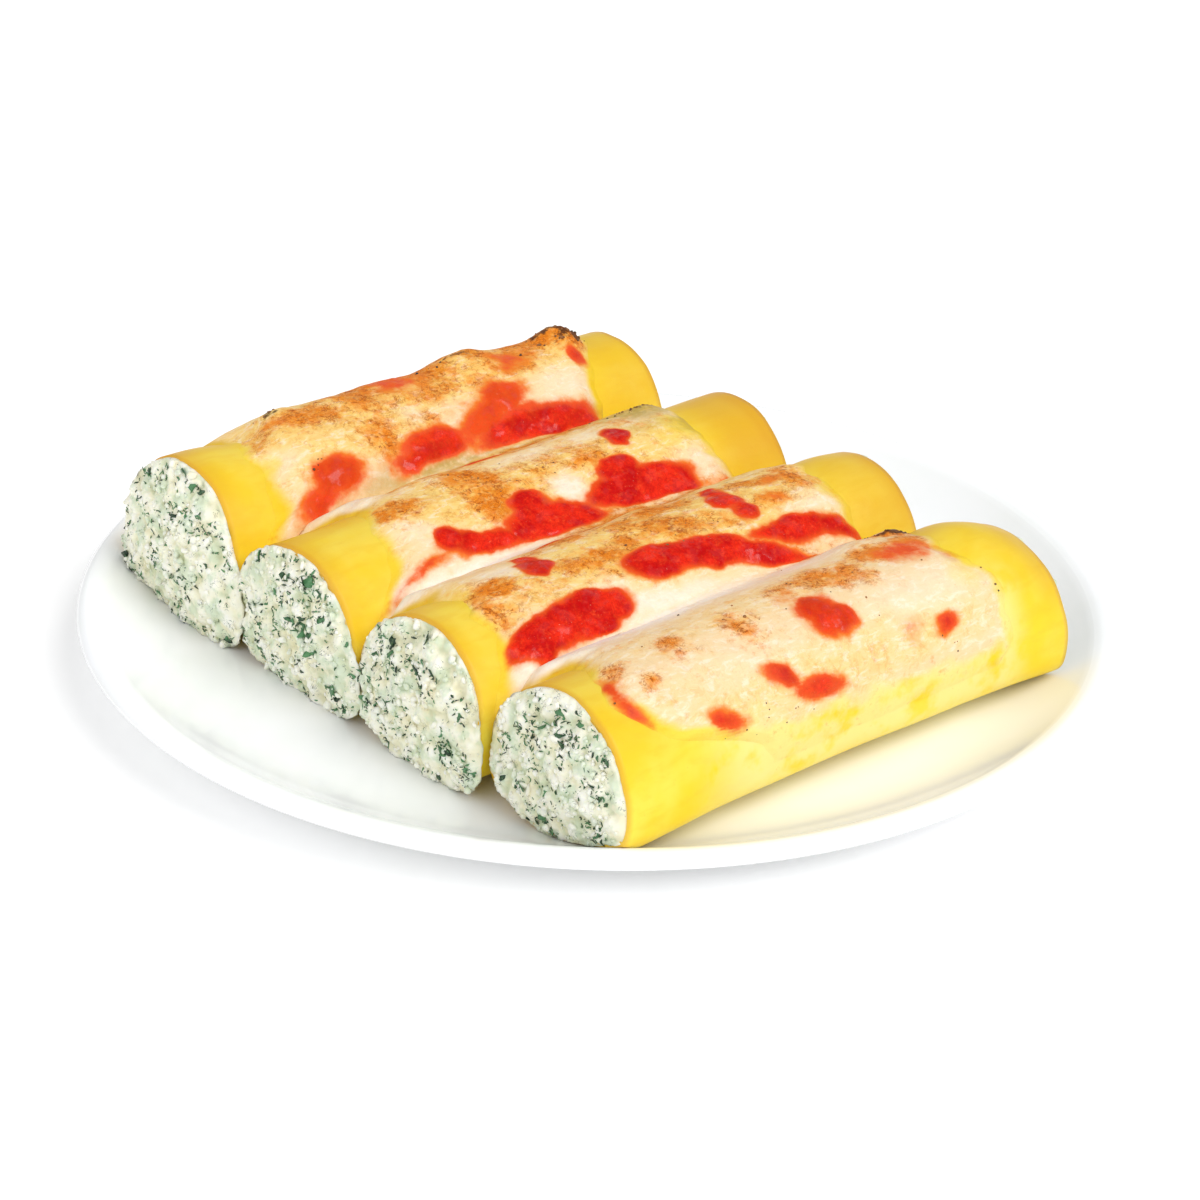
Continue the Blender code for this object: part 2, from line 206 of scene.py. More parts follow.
ROLLS = [     # in mm; waves: x, reach and height of dents in the crest; gold: how golden its far end is
    dict(near=-69.2, far=50.0, lean=0.0, slope=2.4, swell=(4.2, 2.0), waves=[(-52, 8, -1.5)],
         height=(36.0, 37.0, 36.6, 37.0, 36.6), square=SOFT_CORNERS, gold=0.55),
    dict(near=-68.7, far=52.0, lean=0.4, slope=0.6, swell=(2.4, 1.6), waves=[],
         height=(31.2, 32.2, 33.0, 33.8, 34.4), square=SOFT_CORNERS, gold=0.85),
    dict(near=-67.7, far=52.5, lean=1.2, slope=2.6, swell=(3.2, 1.6), waves=[(44, 8, 1.3)],
         height=(31.1, 31.8, 32.4, 33.0, 33.2), square=SOFT_CORNERS, gold=0.6),
    dict(near=-65.0, far=55.2, lean=0.6, slope=2.8, swell=(2.4, 1.8), waves=[(43, 7, 1.9), (56, 4, -1.6)],
         height=(30.8, 31.2, 31.6, 31.8, 31.2), square=FIRM_CORNERS, gold=0.3),
]
for roll, left, right in zip(ROLLS, SIDES, SIDES[1:]):
    roll.update(left=left, right=right, waves=np.reshape(roll["waves"], (-1, 3)))
    for key in ("near", "far", "lean", "slope", "swell", "waves", "left", "right", "height"):
        roll[key] = np.multiply(roll[key], mm)


def along(values, t):
    """Smooth value at t (0 to 1) of a list of evenly spaced stations."""
    values = np.asarray(values)
    t = np.clip(t, 0, 1) * (len(values) - 1)
    i = np.minimum(np.asarray(t).astype(int), len(values) - 2)
    f = ease(t - i, 0, 1)
    return values[i] * (1 - f) + values[i + 1] * f


def plate_top(x, y):
    """Height of the glazed top: flat well, rising wall, rounded lip."""
    r = np.hypot(x, y)
    t = np.clip((r - WELL_RADIUS) / (LIP_RADIUS - WELL_RADIUS), 0, 1)
    lip = np.clip((r - LIP_RADIUS) * LIP_SLOPE, 0, LIP_RISE)
    return PLATE_BASE + (LIP_HEIGHT - PLATE_BASE) * t * t + lip


def roll_shape(roll, x):
    """Middle, half width, widest level and crest of a roll at x."""
    t = (x - roll["near"]) / (roll["far"] - roll["near"])
    left, right, height = (along(roll[key], t) for key in ("left", "right", "height"))
    for middle, reach, rise in roll["waves"]:
        height = height + rise * np.exp(-((x - middle) / reach) ** 2)
    return (left + right) / 2, (left - right) / 2, PLATE_BASE + BELLY * height, PLATE_BASE + height


print("rolls, mm long:", [round((roll["far"] - roll["near"]) / mm, 1) for roll in ROLLS])

# %% [markdown]
# ## Round the outside of a roll
# A roll of soft pasta is no cylinder. Its top is an arch that leans a little,
# its foot spreads to two soft corners, and its near end is cut on a slant, the
# top further back than the foot. One function gives the closed outline at any
# place along the roll, and is used for the pasta and for the filling alike.

# %% Outline of a roll
CORNER_TUCK = 5 * mm          # how far a fully round corner is drawn in
FOOT_FULLNESS = 0.6           # how flat a fully square foot gets
SLANT_REACH, SLANT_PIVOT = 30 * mm, 0.4          # the slant turns about this share of the height


def outline(roll, x, around, inset):
    """Closed outline of a roll at x: y and z at the angles around, and how far x leans back there."""
    mid, half, belly, top = roll_shape(roll, x)
    half = half - inset - GAP / 2
    square = along(roll["square"], (x - roll["near"]) / (roll["far"] - roll["near"]))
    c, s = np.cos(around), np.sin(around)
    down = np.abs(np.minimum(s, 0))
    y = mid + half * np.sign(c) * np.abs(c) ** ARCH - roll["lean"] * np.maximum(s, 0) ** 2
    y = y - np.sign(c) * CORNER_TUCK * (1 - square) * down ** 2 * np.minimum(1, 6 * np.abs(c))
    z = belly + (top - inset - belly) * np.maximum(s, 0) ** ARCH
    z = z - (belly - PLATE_BASE - GAP - inset) * down ** (1 - FOOT_FULLNESS * square)
    fade = np.maximum(1 - (x - roll["near"]) / SLANT_REACH, 0)
    back = roll["slope"] * fade ** 2 * (np.maximum(z - PLATE_BASE, 0) / roll["height"][0] - SLANT_PIVOT)
    z = np.maximum(z, plate_top(x + back, y) + GAP + inset)
    return y, z, back


quarters = np.radians([0, 90, 180, 270])
widths, levels, _ = outline(ROLLS[0], 0.0, quarters, 0.0)
print("roll 1 at x = 0, mm wide:", round((widths[0] - widths[2]) / mm, 1),
      "high:", round((levels[1] - levels[3]) / mm, 1))

# %% [markdown]
# ## The top of the cheese
# The melted cheese drapes over all four rolls. It follows each crest at an even
# thickness and pools in the valleys, deeper in the middle of the dish than at
# the ends, where it stretched. The valleys are rounded off by taking a softened
# maximum of the heights of the rolls.

# %% Height of the cheese
COVER_LIFT, UNDERSIDE_LIFT = 2.0 * mm, -0.2 * mm
VALLEY_ROUNDING, UNDERSIDE_ROUNDING = 3 * mm, 0.3 * mm
POOL_ENDS, POOL_MIDDLE, POOL_REACH = 10.5 * mm, 5.8 * mm, 13 * mm
POOL_SAG, POOL_ROUNDING = 1.5 * mm, 3.5 * mm
DISH_MIDDLE, DISH_REACH = -6 * mm, 50 * mm
NEVER_ZERO = 1e-6


def smooth_max(a, b, k):
    """The larger of two heights, with the corner between them rounded by k."""
    h = np.maximum(k - np.abs(a - b), 0) / k
    return np.maximum(a, b) + h * h * k / 4


def middle_share(x):
    """1 half way along the rolls, falling to 0 towards their ends."""
    return np.maximum(1 - ((x - DISH_MIDDLE) / DISH_REACH) ** 2, 0)


def roll_top(roll, x, y, lift):
    """Height of the upper half of a roll at (x, y), grown outwards by lift."""
    mid, half, belly, top = roll_shape(roll, x)
    s = np.zeros(np.shape(x + y))
    for _ in range(4):      # the crest leans, so look again at the shifted place
        c = np.minimum(np.abs(y + roll["lean"] * s * s - mid) / (half + lift), 1) ** (1 / ARCH)
        s = np.sqrt(1 - c * c)
    return belly + (top + lift - belly) * s ** ARCH


def rolls_top(x, y, lift, rounding):
    """Height of a layer lifted off all four rolls, with rounded valleys."""
    z = roll_top(ROLLS[0], x, y, lift)
    for roll in ROLLS[1:]:
        z = smooth_max(z, roll_top(roll, x, y, lift), rounding)
    return z


def cheese_top(x, y):
    """Height of the melted cheese: pooled in the valleys, even on the crests."""
    z = rolls_top(x, y, COVER_LIFT, VALLEY_ROUNDING)
    for roll, follow in zip(ROLLS, ROLLS[1:]):
        mid, half, _, top = roll_shape(roll, x)
        away = (y - (mid - half)) / POOL_REACH
        lower = np.minimum(top, roll_shape(follow, x)[3])
        level = lower - POOL_ENDS + (POOL_ENDS - POOL_MIDDLE) * middle_share(x) - POOL_SAG * away ** 2
        pooled = smooth_max(z, level, POOL_ROUNDING * np.maximum(1 - away ** 2, 0) + NEVER_ZERO)
        z = np.where(np.abs(away) < 1, pooled, z)
    return z


valley = ROLLS[0]["right"][2]
print("cheese in the first valley, mm above the table:", round(float(cheese_top(0.0, valley)) / mm, 1))

# %% [markdown]
# ## The cheese laid out as a sheet
# To place toppings, the sheet is read in two measures: x along the rolls, and
# w across them, walked over the hills from the back edge to the front one. So
# a spot on the flank of a roll keeps its true size. The oven raised a few
# bubbles on the crests, which are added here.

# %% Sheet of cheese
FLANK_FROM, FLANK_TO = 18.0, 179.0      # degrees over the first and the last roll
BAKED_LUMPS = [(35, 54, 8, 2.4), (33, 59, 6, 0.9), (8, 58, 12, 2.4), (-12, 59, 13, 0.9),
               (-41, 59, 6, 0.9), (-53, 58, 9, -1.9), (-28, 57, 8, 0.7), (38, 21, 9, 1.3),
               (41, -17, 9, 1.4), (40, -51, 10, 2.4), (22, -50, 9, 0.9), (-3, -14, 8, 0.7),
               (-30, 22, 9, 0.8)]      # x, y, radius, height in mm
WALK_X, WALK_STEPS = -5 * mm, 6000


def crest(roll, x):
    """y of the crest of a roll, which leans."""
    return roll_shape(roll, x)[0] - roll["lean"]


def flank(roll, x, degrees, lift):
    """A point on the outer flank of a roll, at an angle from its left horizontal."""
    mid, half, belly, top = roll_shape(roll, x)
    c, s = np.cos(np.radians(degrees)), np.sin(np.radians(degrees))
    y = mid + (half + lift) * np.sign(c) * np.abs(c) ** ARCH - roll["lean"] * s * s
    return y, belly + (top + lift - belly) * s ** ARCH


def sheet(x, share, top=True):
    """A point of the cheese: share 0 to 1 up the back flank, to 2 over the crests, to 3 down the front."""
    first, last = ROLLS[0], ROLLS[-1]
    lift = COVER_LIFT if top else UNDERSIDE_LIFT
    y0, z0 = flank(first, x, FLANK_FROM + (90 - FLANK_FROM) * np.clip(share, 0, 1), lift)
    y1 = crest(first, x) + (crest(last, x) - crest(first, x)) * np.clip(share - 1, 0, 1)
    z1 = cheese_top(x, y1) if top else rolls_top(x, y1, lift, UNDERSIDE_ROUNDING)
    y2, z2 = flank(last, x, 90 + (FLANK_TO - 90) * np.clip(share - 2, 0, 1), lift)
    y = np.where(share < 1, y0, np.where(share < 2, y1, y2))
    z = np.where(share < 1, z0, np.where(share < 2, z1, z2))
    for cx, cy, radius, height in BAKED_LUMPS if top else []:
        away = np.hypot(x / mm - cx, y / mm - cy) / radius
        z = z + height * mm * np.maximum(1 - away ** 2, 0) ** 2
    return np.stack([x + 0 * y, y, z], -1)


shares = np.linspace(0, 3, WALK_STEPS + 1)
walk = sheet(np.full_like(shares, WALK_X), shares)
walked = np.concatenate([[0], np.cumsum(np.linalg.norm(np.diff(walk, axis=0), axis=1))])
SHEET_WIDTH = walked[-1]
print("sheet of cheese, mm across:", round(SHEET_WIDTH / mm, 1))

# %% [markdown]
# ## Where the pasta is golden
# Fresh pasta dries and turns golden at its cut edges. On the back of each roll and on top near the ends,
# where the pasta curves away from the light, a darker golden is painted shade. A pale film of cheese and
# butter has run down the front of the last roll.

# %% Golden pasta and buttery film
def window(value, rise, full, fall, gone):
    """1 from full to fall and 0 outside rise and gone, with soft steps between; limits in mm."""
    return ease(value, rise * mm, full * mm) * ease(-value, -gone * mm, -fall * mm)


def pasta_gold_and_shade(roll, x, y, z):
    """How golden the pasta of a roll is at a point of its skin: painted shade on the back and the tops near
    the ends, drying at the cut edges.
    """
    mid, _, belly, top = roll_shape(roll, x)
    # painted shade: a darker golden on the back and on the tops near both ends, where the pasta curves away
    # from the light; real drying at the cut edges
    lying_back = ease(y - mid, -7 * mm, 10 * mm)
    back = lying_back * np.maximum(0.7 * ease(z, belly + 2 * mm, top - 7 * mm), 0.35)
    far_top = roll["gold"] * ease(x, 24 * mm, 44 * mm) * ease(z, belly + 6 * mm, top - 4 * mm)
    near_top = 0.3 * ease(-x, 40 * mm, 54 * mm) * ease(z, belly + 4 * mm, top - 2 * mm)
    cut_edges = 0.35 * ease(np.abs(x + 8 * mm), 54 * mm, 61 * mm) * ease(z, belly, top)
    return np.maximum(np.maximum(back, near_top), far_top) + cut_edges


def side_film(x, y, z):
    """Where a pale film of cheese and butter lies on the front side of the last roll."""
    return (ease(-y, 70 * mm, 80 * mm) * window(x, -50, -30, 36, 46)
            * ease(z, PLATE_BASE + 3 * mm, PLATE_BASE + 10 * mm))


print("gold on the far tops:", [roll["gold"] for roll in ROLLS])

# %% [markdown]
# ## Shader building blocks
# The materials are node trees. These few helpers add one node each, so that a
# material below reads like a recipe. An input given a socket is linked; one
# given a number or a colour is set. Every socket knows the tree it lives in,
# so the helpers find the tree by themselves.

# %% Node helpers
def srgb(code):
    """A colour code such as F6E4AC as linear red, green, blue and alpha."""
    parts = [int(code[i:i + 2], 16) / 255 for i in (0, 2, 4)]
    return tuple(v / 12.92 if v <= 0.04045 else ((v + 0.055) / 1.055) ** 2.4 for v in parts) + (1.0,)


def give(socket, value):
    """Link another socket to an input, or set the input to a number or a colour."""
    if isinstance(value, bpy.types.NodeSocket):
        socket.id_data.links.new(value, socket)
    else:
        socket.default_value = value


def tree_of(*values):
    """The node tree that the first socket among the values lives in."""
    return next(value.id_data for value in values if isinstance(value, bpy.types.NodeSocket))


def place(tree, kind, inputs, output=0, **settings):
    """Add one shader node and return one of its outputs."""
    made = tree.nodes.new("ShaderNode" + kind)
    for key, value in settings.items():
        setattr(made, key, value)
    for key, value in inputs.items():
        give(made.inputs[key], value)
    return made.outputs[output]


print("F6E4AC in linear light:", [round(part, 3) for part in srgb("F6E4AC")])

# %% [markdown]
# ## Arithmetic with masks
# Where two effects meet, their masks are multiplied; where they help each
# other, they are added. A soft step turns a smooth noise into a patch with a
# border. Each of these is one node, and gets a short name.

# %% Arithmetic with sockets
def maths(operation, a, b=0.0):
    """One Math node on two numbers, at least one of them a socket."""
    return place(tree_of(a, b), "Math", {0: a, 1: b}, operation=operation)


def times(*values):
    """The product of several numbers."""
    product = values[0]
    for value in values[1:]:
        product = maths("MULTIPLY", product, value)
    return product


def plus(a, b):
    """The sum of two numbers."""
    return maths("ADD", a, b)


def minus(a, b):
    """The first number less the second."""
    return maths("SUBTRACT", a, b)


def soft_step(value, low, high):
    """0 below low, 1 above high, smooth between."""
    return place(tree_of(value), "MapRange", {"Value": value, "From Min": low, "From Max": high},
                 interpolation_type="SMOOTHSTEP")


print("short names:", [helper.__name__ for helper in (times, plus, minus, soft_step)])

# %% [markdown]
# ## Layers of colour
# Colours are laid over each other like thin coats of paint: a share of a new
# one over what is there. Noise breaks every coat up, and its size is told in
# mm, so that it can be judged against the real thing.

# %% Colours, noise and masks
def mix(share, under, over):
    """A colour with a share of another colour over it; a colour is a socket or a code."""
    under, over = (srgb(colour) if isinstance(colour, str) else colour for colour in (under, over))
    return place(tree_of(share, under, over), "Mix", {0: share, 6: under, 7: over},
                 output=2, data_type="RGBA")


def noise(where, scale, detail, roughness, distortion=0.0):
    """Smooth noise from 0 to 1, scale waves to each unit of length."""
    return place(tree_of(where), "TexNoise", {"Vector": where, "Scale": scale, "Detail": detail,
                                              "Roughness": roughness, "Distortion": distortion})


def grain(where, size, detail=3.0, roughness=0.55, distortion=0.0):
    """Noise from 0 to 1 whose largest features are about size mm."""
    return noise(where, 1 / (size * mm), detail, roughness, distortion)


def drawn_out(where, share):
    """Coordinates that stretch a pattern along the rolls; share is how fast x still runs."""
    return place(tree_of(where), "VectorMath", {0: where, 1: (share, 1.0, 1.0)}, operation="MULTIPLY")


def mask(where, name):
    """A mask that the mesh carries on its points, read in the tree of the socket where."""
    return place(where.id_data, "Attribute", {}, output="Fac", attribute_name=name)


print("waves in a metre of grain of 3 mm:", round(1 / (3 * mm)))

# %% [markdown]
# ## Groups and materials
# An effect that several materials share is a node group, built once and
# placed in each with its own values. A group puts out only colours, masks and
# heights. The shader itself stays in the material, with every value that is
# the same all over the surface set on it directly.

# %% Groups and materials
def group(name, inputs, outputs):
    """An empty shader node group with named sockets; returns it with its input and output nodes."""
    tree = bpy.data.node_groups.new(name, "ShaderNodeTree")
    for direction, sockets in (("INPUT", inputs), ("OUTPUT", outputs)):
        for key, kind in sockets.items():
            tree.interface.new_socket(key, in_out=direction, socket_type="NodeSocket" + kind)
    return tree, tree.nodes.new("NodeGroupInput").outputs, tree.nodes.new("NodeGroupOutput").inputs


def use(made_group, inputs):
    """Place a node group among the sockets it is given and return its outputs."""
    node = tree_of(*inputs.values()).nodes.new("ShaderNodeGroup")
    node.node_tree = made_group
    for key, value in inputs.items():
        give(node.inputs[key], value)
    return node.outputs


def material(name, constants):
    """A new material, the inputs of its Principled shader, and the coordinates of the piece in metres."""
    made = bpy.data.materials.new(name)
    made.use_nodes = True
    finish = made.node_tree.nodes["Principled BSDF"].inputs
    for key, value in constants.items():
        finish[key].default_value = value
    return made, finish, place(made.node_tree, "TexCoord", {}, output="Object")


def raise_surface(finish, height, strength, distance):
    """Let a height bump the surface of a material by up to distance, in mm."""
    bump = {"Height": height, "Strength": strength, "Distance": distance * mm}
    give(finish["Normal"], place(tree_of(height), "Bump", bump))


print("materials before the first one is made here:", len(bpy.data.materials))

# %% [markdown]
# ## Three shared effects
# Fine speckle is everywhere on this dish: gratin on the cheese, pulp in the
# tomato, pits in the glaze. It is one node group, placed with its own sizes.
# Fine scribbles are the thin dark threads of a crust, found where a swirling
# noise crosses one level. Soft lumps gives every surface its bump.

# %% Speckle, scribble and lumps node groups
def in_sizes(sent):
    """The place told in units of the group's Size."""
    scale = maths("DIVIDE", 1.0, sent["Size"])
    return place(scale.id_data, "VectorMath", {0: sent["Vector"], "Scale": scale}, operation="SCALE")


speckle, sent, made = group("Fine speckle", {"Vector": "Vector", "Size": "Float", "Amount": "Float",
                                             "Edge": "Float"}, {"Mask": "Float"})
level = minus(0.70, times(sent["Amount"], 0.30))
above = maths("DIVIDE", minus(noise(in_sizes(sent), 1.0, 6.0, 0.72), level), sent["Edge"])
give(made["Mask"], soft_step(above, -0.5, 0.5))

scribble, sent, made = group("Fine scribbles", {"Vector": "Vector", "Size": "Float", "Width": "Float"},
                             {"Mask": "Float"})
off_line = maths("ABSOLUTE", minus(noise(in_sizes(sent), 1.0, 3.0, 0.6, 1.2), 0.5))
line = minus(1.0, maths("DIVIDE", off_line, sent["Width"]))
give(made["Mask"], soft_step(line, 0.0, 0.8))

lumps, sent, made = group("Soft lumps", {"Vector": "Vector", "Size": "Float", "Fine": "Float"},
                          {"Height": "Float"})
broad, small = noise(in_sizes(sent), 1.0, 2.0, 0.5), noise(in_sizes(sent), 5.0, 4.0, 0.6)
give(made["Height"], plus(broad, times(small, sent["Fine"])))


def speckled(where, size, amount, edge):
    """Where fine speckle of a size in mm lies."""
    return use(speckle, {"Vector": where, "Size": size * mm, "Amount": amount, "Edge": edge})["Mask"]


def threads(where, size, width):
    """Where fine dark threads run, in swirls of a size in mm."""
    return use(scribble, {"Vector": where, "Size": size * mm, "Width": width})["Mask"]


def lumpy(where, size, fine):
    """Height of soft lumps of a size in mm, with a share of finer ones."""
    return use(lumps, {"Vector": where, "Size": size * mm, "Fine": fine})["Height"]


print("shared effects:", speckle.name, scribble.name, lumps.name)

# %% [markdown]
# ## The paint of the pasta
# Fresh egg pasta is a deep even yellow. Where it curves away from the light, a more golden coat is painted
# shade; at its cut edges it is golden from drying. The cheese thins out to nothing on it, so the same paint
# is used again under the edge of the cheese and the border melts away.

# %% Egg pasta node group
yolk, sent, made = group("Egg pasta paint", {"Vector": "Vector", "Golden": "Float", "Film": "Float"},
                         {"Color": "Color"})
where = sent["Vector"]
paint = mix(soft_step(grain(where, 14), 0.35, 0.7), "F9D826", "FCE452")
streak = soft_step(grain(drawn_out(where, 0.35), 3.0, 4.0, 0.6, 0.4), 0.44, 0.68)
paint = mix(times(streak, 0.35), paint, "F2C824")
# painted shade: the golden coat darkens the back and the tops of the rolls, where they curve away from the
# light; at the cut edges it is drying
paint = mix(sent["Golden"], paint, "E0A922")
filmed = times(sent["Film"], soft_step(grain(where, 6), 0.28, 0.55))
paint = mix(times(filmed, 0.8), paint, "FBEB9A")
give(made["Color"], mix(times(speckled(where, 1.3, 0.08, 0.1), 0.3), paint, "D9A52E"))
print("paint of the pasta:", yolk.name)

# %% [markdown]
# ## The paint of the baked top: cheese
# Melted cheese is cream where it is thick and lets the yellow pasta through where it thins out. It dries in
# strands, whitest where it pooled, with painted highlight on the pools in the valleys, and a dull olive
# painted shade where it lies deep between the rolls. Cheese and tomato lie in each other, so one node group
# paints both, and no seam shows where they meet.

# %% Cream, milk with painted highlight, and the pasta below
MASKS = ("warm", "milk", "thin", "golden", "film", "olive", "brown", "burnt", "tomato")
baked, sent, made = group("Baked top", {"Vector": "Vector", **{key: "Float" for key in MASKS}},
                          {"Color": "Color", "Wet": "Float", "Rough crust": "Float"})
where = sent["Vector"]
drift, cloud = grain(where, 9), grain(where, 3.2, 4.0, 0.6)
strands = grain(drawn_out(where, 0.45), 1.5, 4.0, 0.65, 0.6)


def around_zero(value, strength):
    """Noise moved from 0 to 1 to swing both ways round 0, to make an edge ragged."""
    return times(minus(value, 0.5), strength)


warmth = plus(sent["warm"], times(cloud, 0.6))
paint = mix(soft_step(warmth, 0.35, 1.25), "F8DBAD", "F9D47E")
paint = mix(times(soft_step(strands, 0.50, 0.66), 0.5), paint, "FFF3DE")
dried = plus(0.25, times(soft_step(sent["warm"], 0.2, 0.9), 0.75))
paint = mix(times(soft_step(strands, 0.50, 0.36), dried, 0.45), paint, "F5B955")
paint = mix(times(threads(where, 3.4, 0.05), soft_step(cloud, 0.4, 0.6), dried, 0.45), paint, "D08A30")
# pale pooled cheese, partly painted highlight: the milk mask whitens the shaded valleys
paint = mix(times(sent["milk"], soft_step(cloud, 0.15, 0.5)), paint, "FFF7EE")
paint = mix(times(sent["milk"], soft_step(strands, 0.50, 0.34), 0.45), paint, "F4D6BE")
thinned = soft_step(plus(sent["thin"], around_zero(drift, 0.9)), 0.15, 0.95)
thinned = times(thinned, soft_step(sent["thin"], 0.0, 0.35))
below = use(yolk, {"Vector": where, "Golden": sent["golden"], "Film": sent["film"]})["Color"]
paint = mix(thinned, paint, below)
# painted shade: a dull olive darkens the deep valleys and far shoulders
valley_shade = times(sent["olive"], soft_step(cloud, 0.2, 0.6))
paint = mix(times(valley_shade, 0.85), paint, "B49A48")
print("paint masks:", MASKS)

# %% [markdown]
# ## The paint of the baked top: crust
# The oven browns the cheese in patches. Seen close, a patch is a golden glow,
# then speckles of toast, then fine dark threads and pale crumbs between them.
# A few bubbles charred. All of them grow out of one value, how baked a place
# is, so a stronger patch is also a darker and a rougher one.

# %% Glow, toast, threads and char
def without(value, share=1.0):
    """What is left of 1 when a share of a value is taken off."""
    return minus(1.0, times(value, share))


baking = plus(times(sent["brown"], 1.12), times(sent["warm"], 0.13))
baking = minus(baking, times(sent["milk"], 0.5))
patchy = plus(0.5, times(soft_step(drift, 0.38, 0.58), 0.6))
baking = times(baking, without(thinned, 0.85), patchy)
glow = soft_step(plus(baking, times(cloud, 1.2)), 0.65, 1.75)
paint = mix(times(glow, 0.85), paint, "FBAC2A")
toast = speckled(where, 3.0, baking, 0.28)
paint = mix(times(toast, 0.7), paint, "F28408")
paint = mix(times(speckled(where, 1.2, baking, 0.12), 0.42), paint, "DC6E06")
seared = soft_step(plus(baking, times(cloud, 1.0)), 0.50, 1.25)
broken = soft_step(grain(where, 2.4, 2.0), 0.44, 0.58)
paint = mix(times(threads(where, 2.6, 0.05), seared, broken, 0.8), paint, "A04800")
here_and_there = soft_step(drift, 0.42, 0.6)
paint = mix(times(threads(where, 1.1, 0.07), seared, here_and_there, 0.5), paint, "B05000")
paint = mix(times(speckled(where, 1.4, 0.40, 0.16), glow, 0.4), paint, "FDDC88")
ash = grain(where, 1.3, 3.0, 0.6)
charred = soft_step(plus(sent["burnt"], around_zero(ash, 2.0)), 0.45, 0.95)
charred = times(charred, soft_step(sent["burnt"], 0.05, 0.3))
paint = mix(times(charred, 0.9), paint, "4A2813")
print("nodes in the paint so far:", len(baked.nodes))

# %% [markdown]
# ## The paint of the baked top: tomato
# Juice runs out of the tomato and stains the cheese orange, so a halo comes first. Then comes the flesh,
# mottled from deep to light red, with darker fibres and a few pale flecks that are painted glints of the wet
# juice. Its border is made ragged by two noises.

# %% Halo and flesh of the tomato
pulp, fibre = grain(where, 3.0), grain(where, 0.8, 3.0, 0.6, 0.8)
ragged = plus(sent["tomato"], around_zero(pulp, 0.38))
ragged = plus(ragged, around_zero(fibre, 0.15))
halo = times(soft_step(ragged, 0.05, 0.48), soft_step(sent["tomato"], 0.01, 0.2))
stained = plus(0.4, times(soft_step(drift, 0.42, 0.60), 0.6))
paint = mix(times(halo, stained), paint, "EC8024")
mottled = plus(times(grain(where, 5.0), 0.7), times(fibre, 0.3))
flesh = mix(soft_step(mottled, 0.38, 0.62), "C40508", "EC2C12")
flesh = mix(times(speckled(where, 1.6, 0.30, 0.2), 0.35), flesh, "F4602E")
flesh = mix(times(threads(where, 2.0, 0.05), 0.35), flesh, "A80A06")
# painted highlight: tiny pale flecks stand for glints on the wet flesh
flesh = mix(times(speckled(where, 0.7, 0.07, 0.08), 0.5), flesh, "FFB79A")
rim_to_flesh = mix(soft_step(ragged, 0.44, 1.0), "EA5A1E", flesh)
red = soft_step(ragged, 0.34, 0.60)
give(made["Color"], mix(red, paint, rim_to_flesh))
give(made["Wet"], red)
give(made["Rough crust"], times(toast, without(red)))
print("nodes in the whole paint:", len(baked.nodes))

# %% [markdown]
# ## Cheese and tomato as materials
# Both wear the same paint. The cheese is matt and rough where it is toasted,
# and light goes a little way into it; the tomato is juicier, so a thin coat
# shines in places. The shader itself stays in each material.

# %% Materials of the baked top
def baked_material(name, bump, wet, constants):
    """Cheese or tomato: the same paint, with its own gloss and relief."""
    made, finish, where = material(name, constants)
    out = use(baked, {"Vector": where, **{key: mask(where, key) for key in MASKS}})
    give(finish["Base Color"], out["Color"])
    give(finish["Roughness"], plus(0.46, times(out["Rough crust"], 0.2)))
    juicy = soft_step(grain(where, 3.0, 2.0), 0.50, 0.62)
    give(finish["Coat Weight"], times(juicy, out["Wet"], wet))
    raise_surface(finish, plus(lumpy(where, 2.2, 0.5), times(out["Rough crust"], 0.35)), bump, 0.35)
    return made


cheese_finish = baked_material("melted_cheese", 0.6, 0.1, {
    "Subsurface Weight": 0.08, "Subsurface Radius": (1.0, 0.7, 0.4), "Subsurface Scale": 1.0 * mm,
    "Coat Roughness": 0.2, "Specular IOR Level": 0.14})
tomato_finish = baked_material("chopped_tomato", 0.4, 0.5, {
    "Subsurface Weight": 0.1, "Subsurface Radius": (1.0, 0.2, 0.1), "Subsurface Scale": 0.8 * mm,
    "Coat Roughness": 0.15, "Specular IOR Level": 0.06})
print("materials:", cheese_finish.name, tomato_finish.name)

# %% [markdown]
# ## Where the tomato lies on the cheese
# A cook's hand placed the tomato. Each spoonful below is a few ovals on the
# sheet that melt together: x and w of the middle, half the length, half the
# width in mm, and the turn in degrees. Smears are the thinnest traces, with no
# body of their own; faint ones, with a strength at the end, only tint.

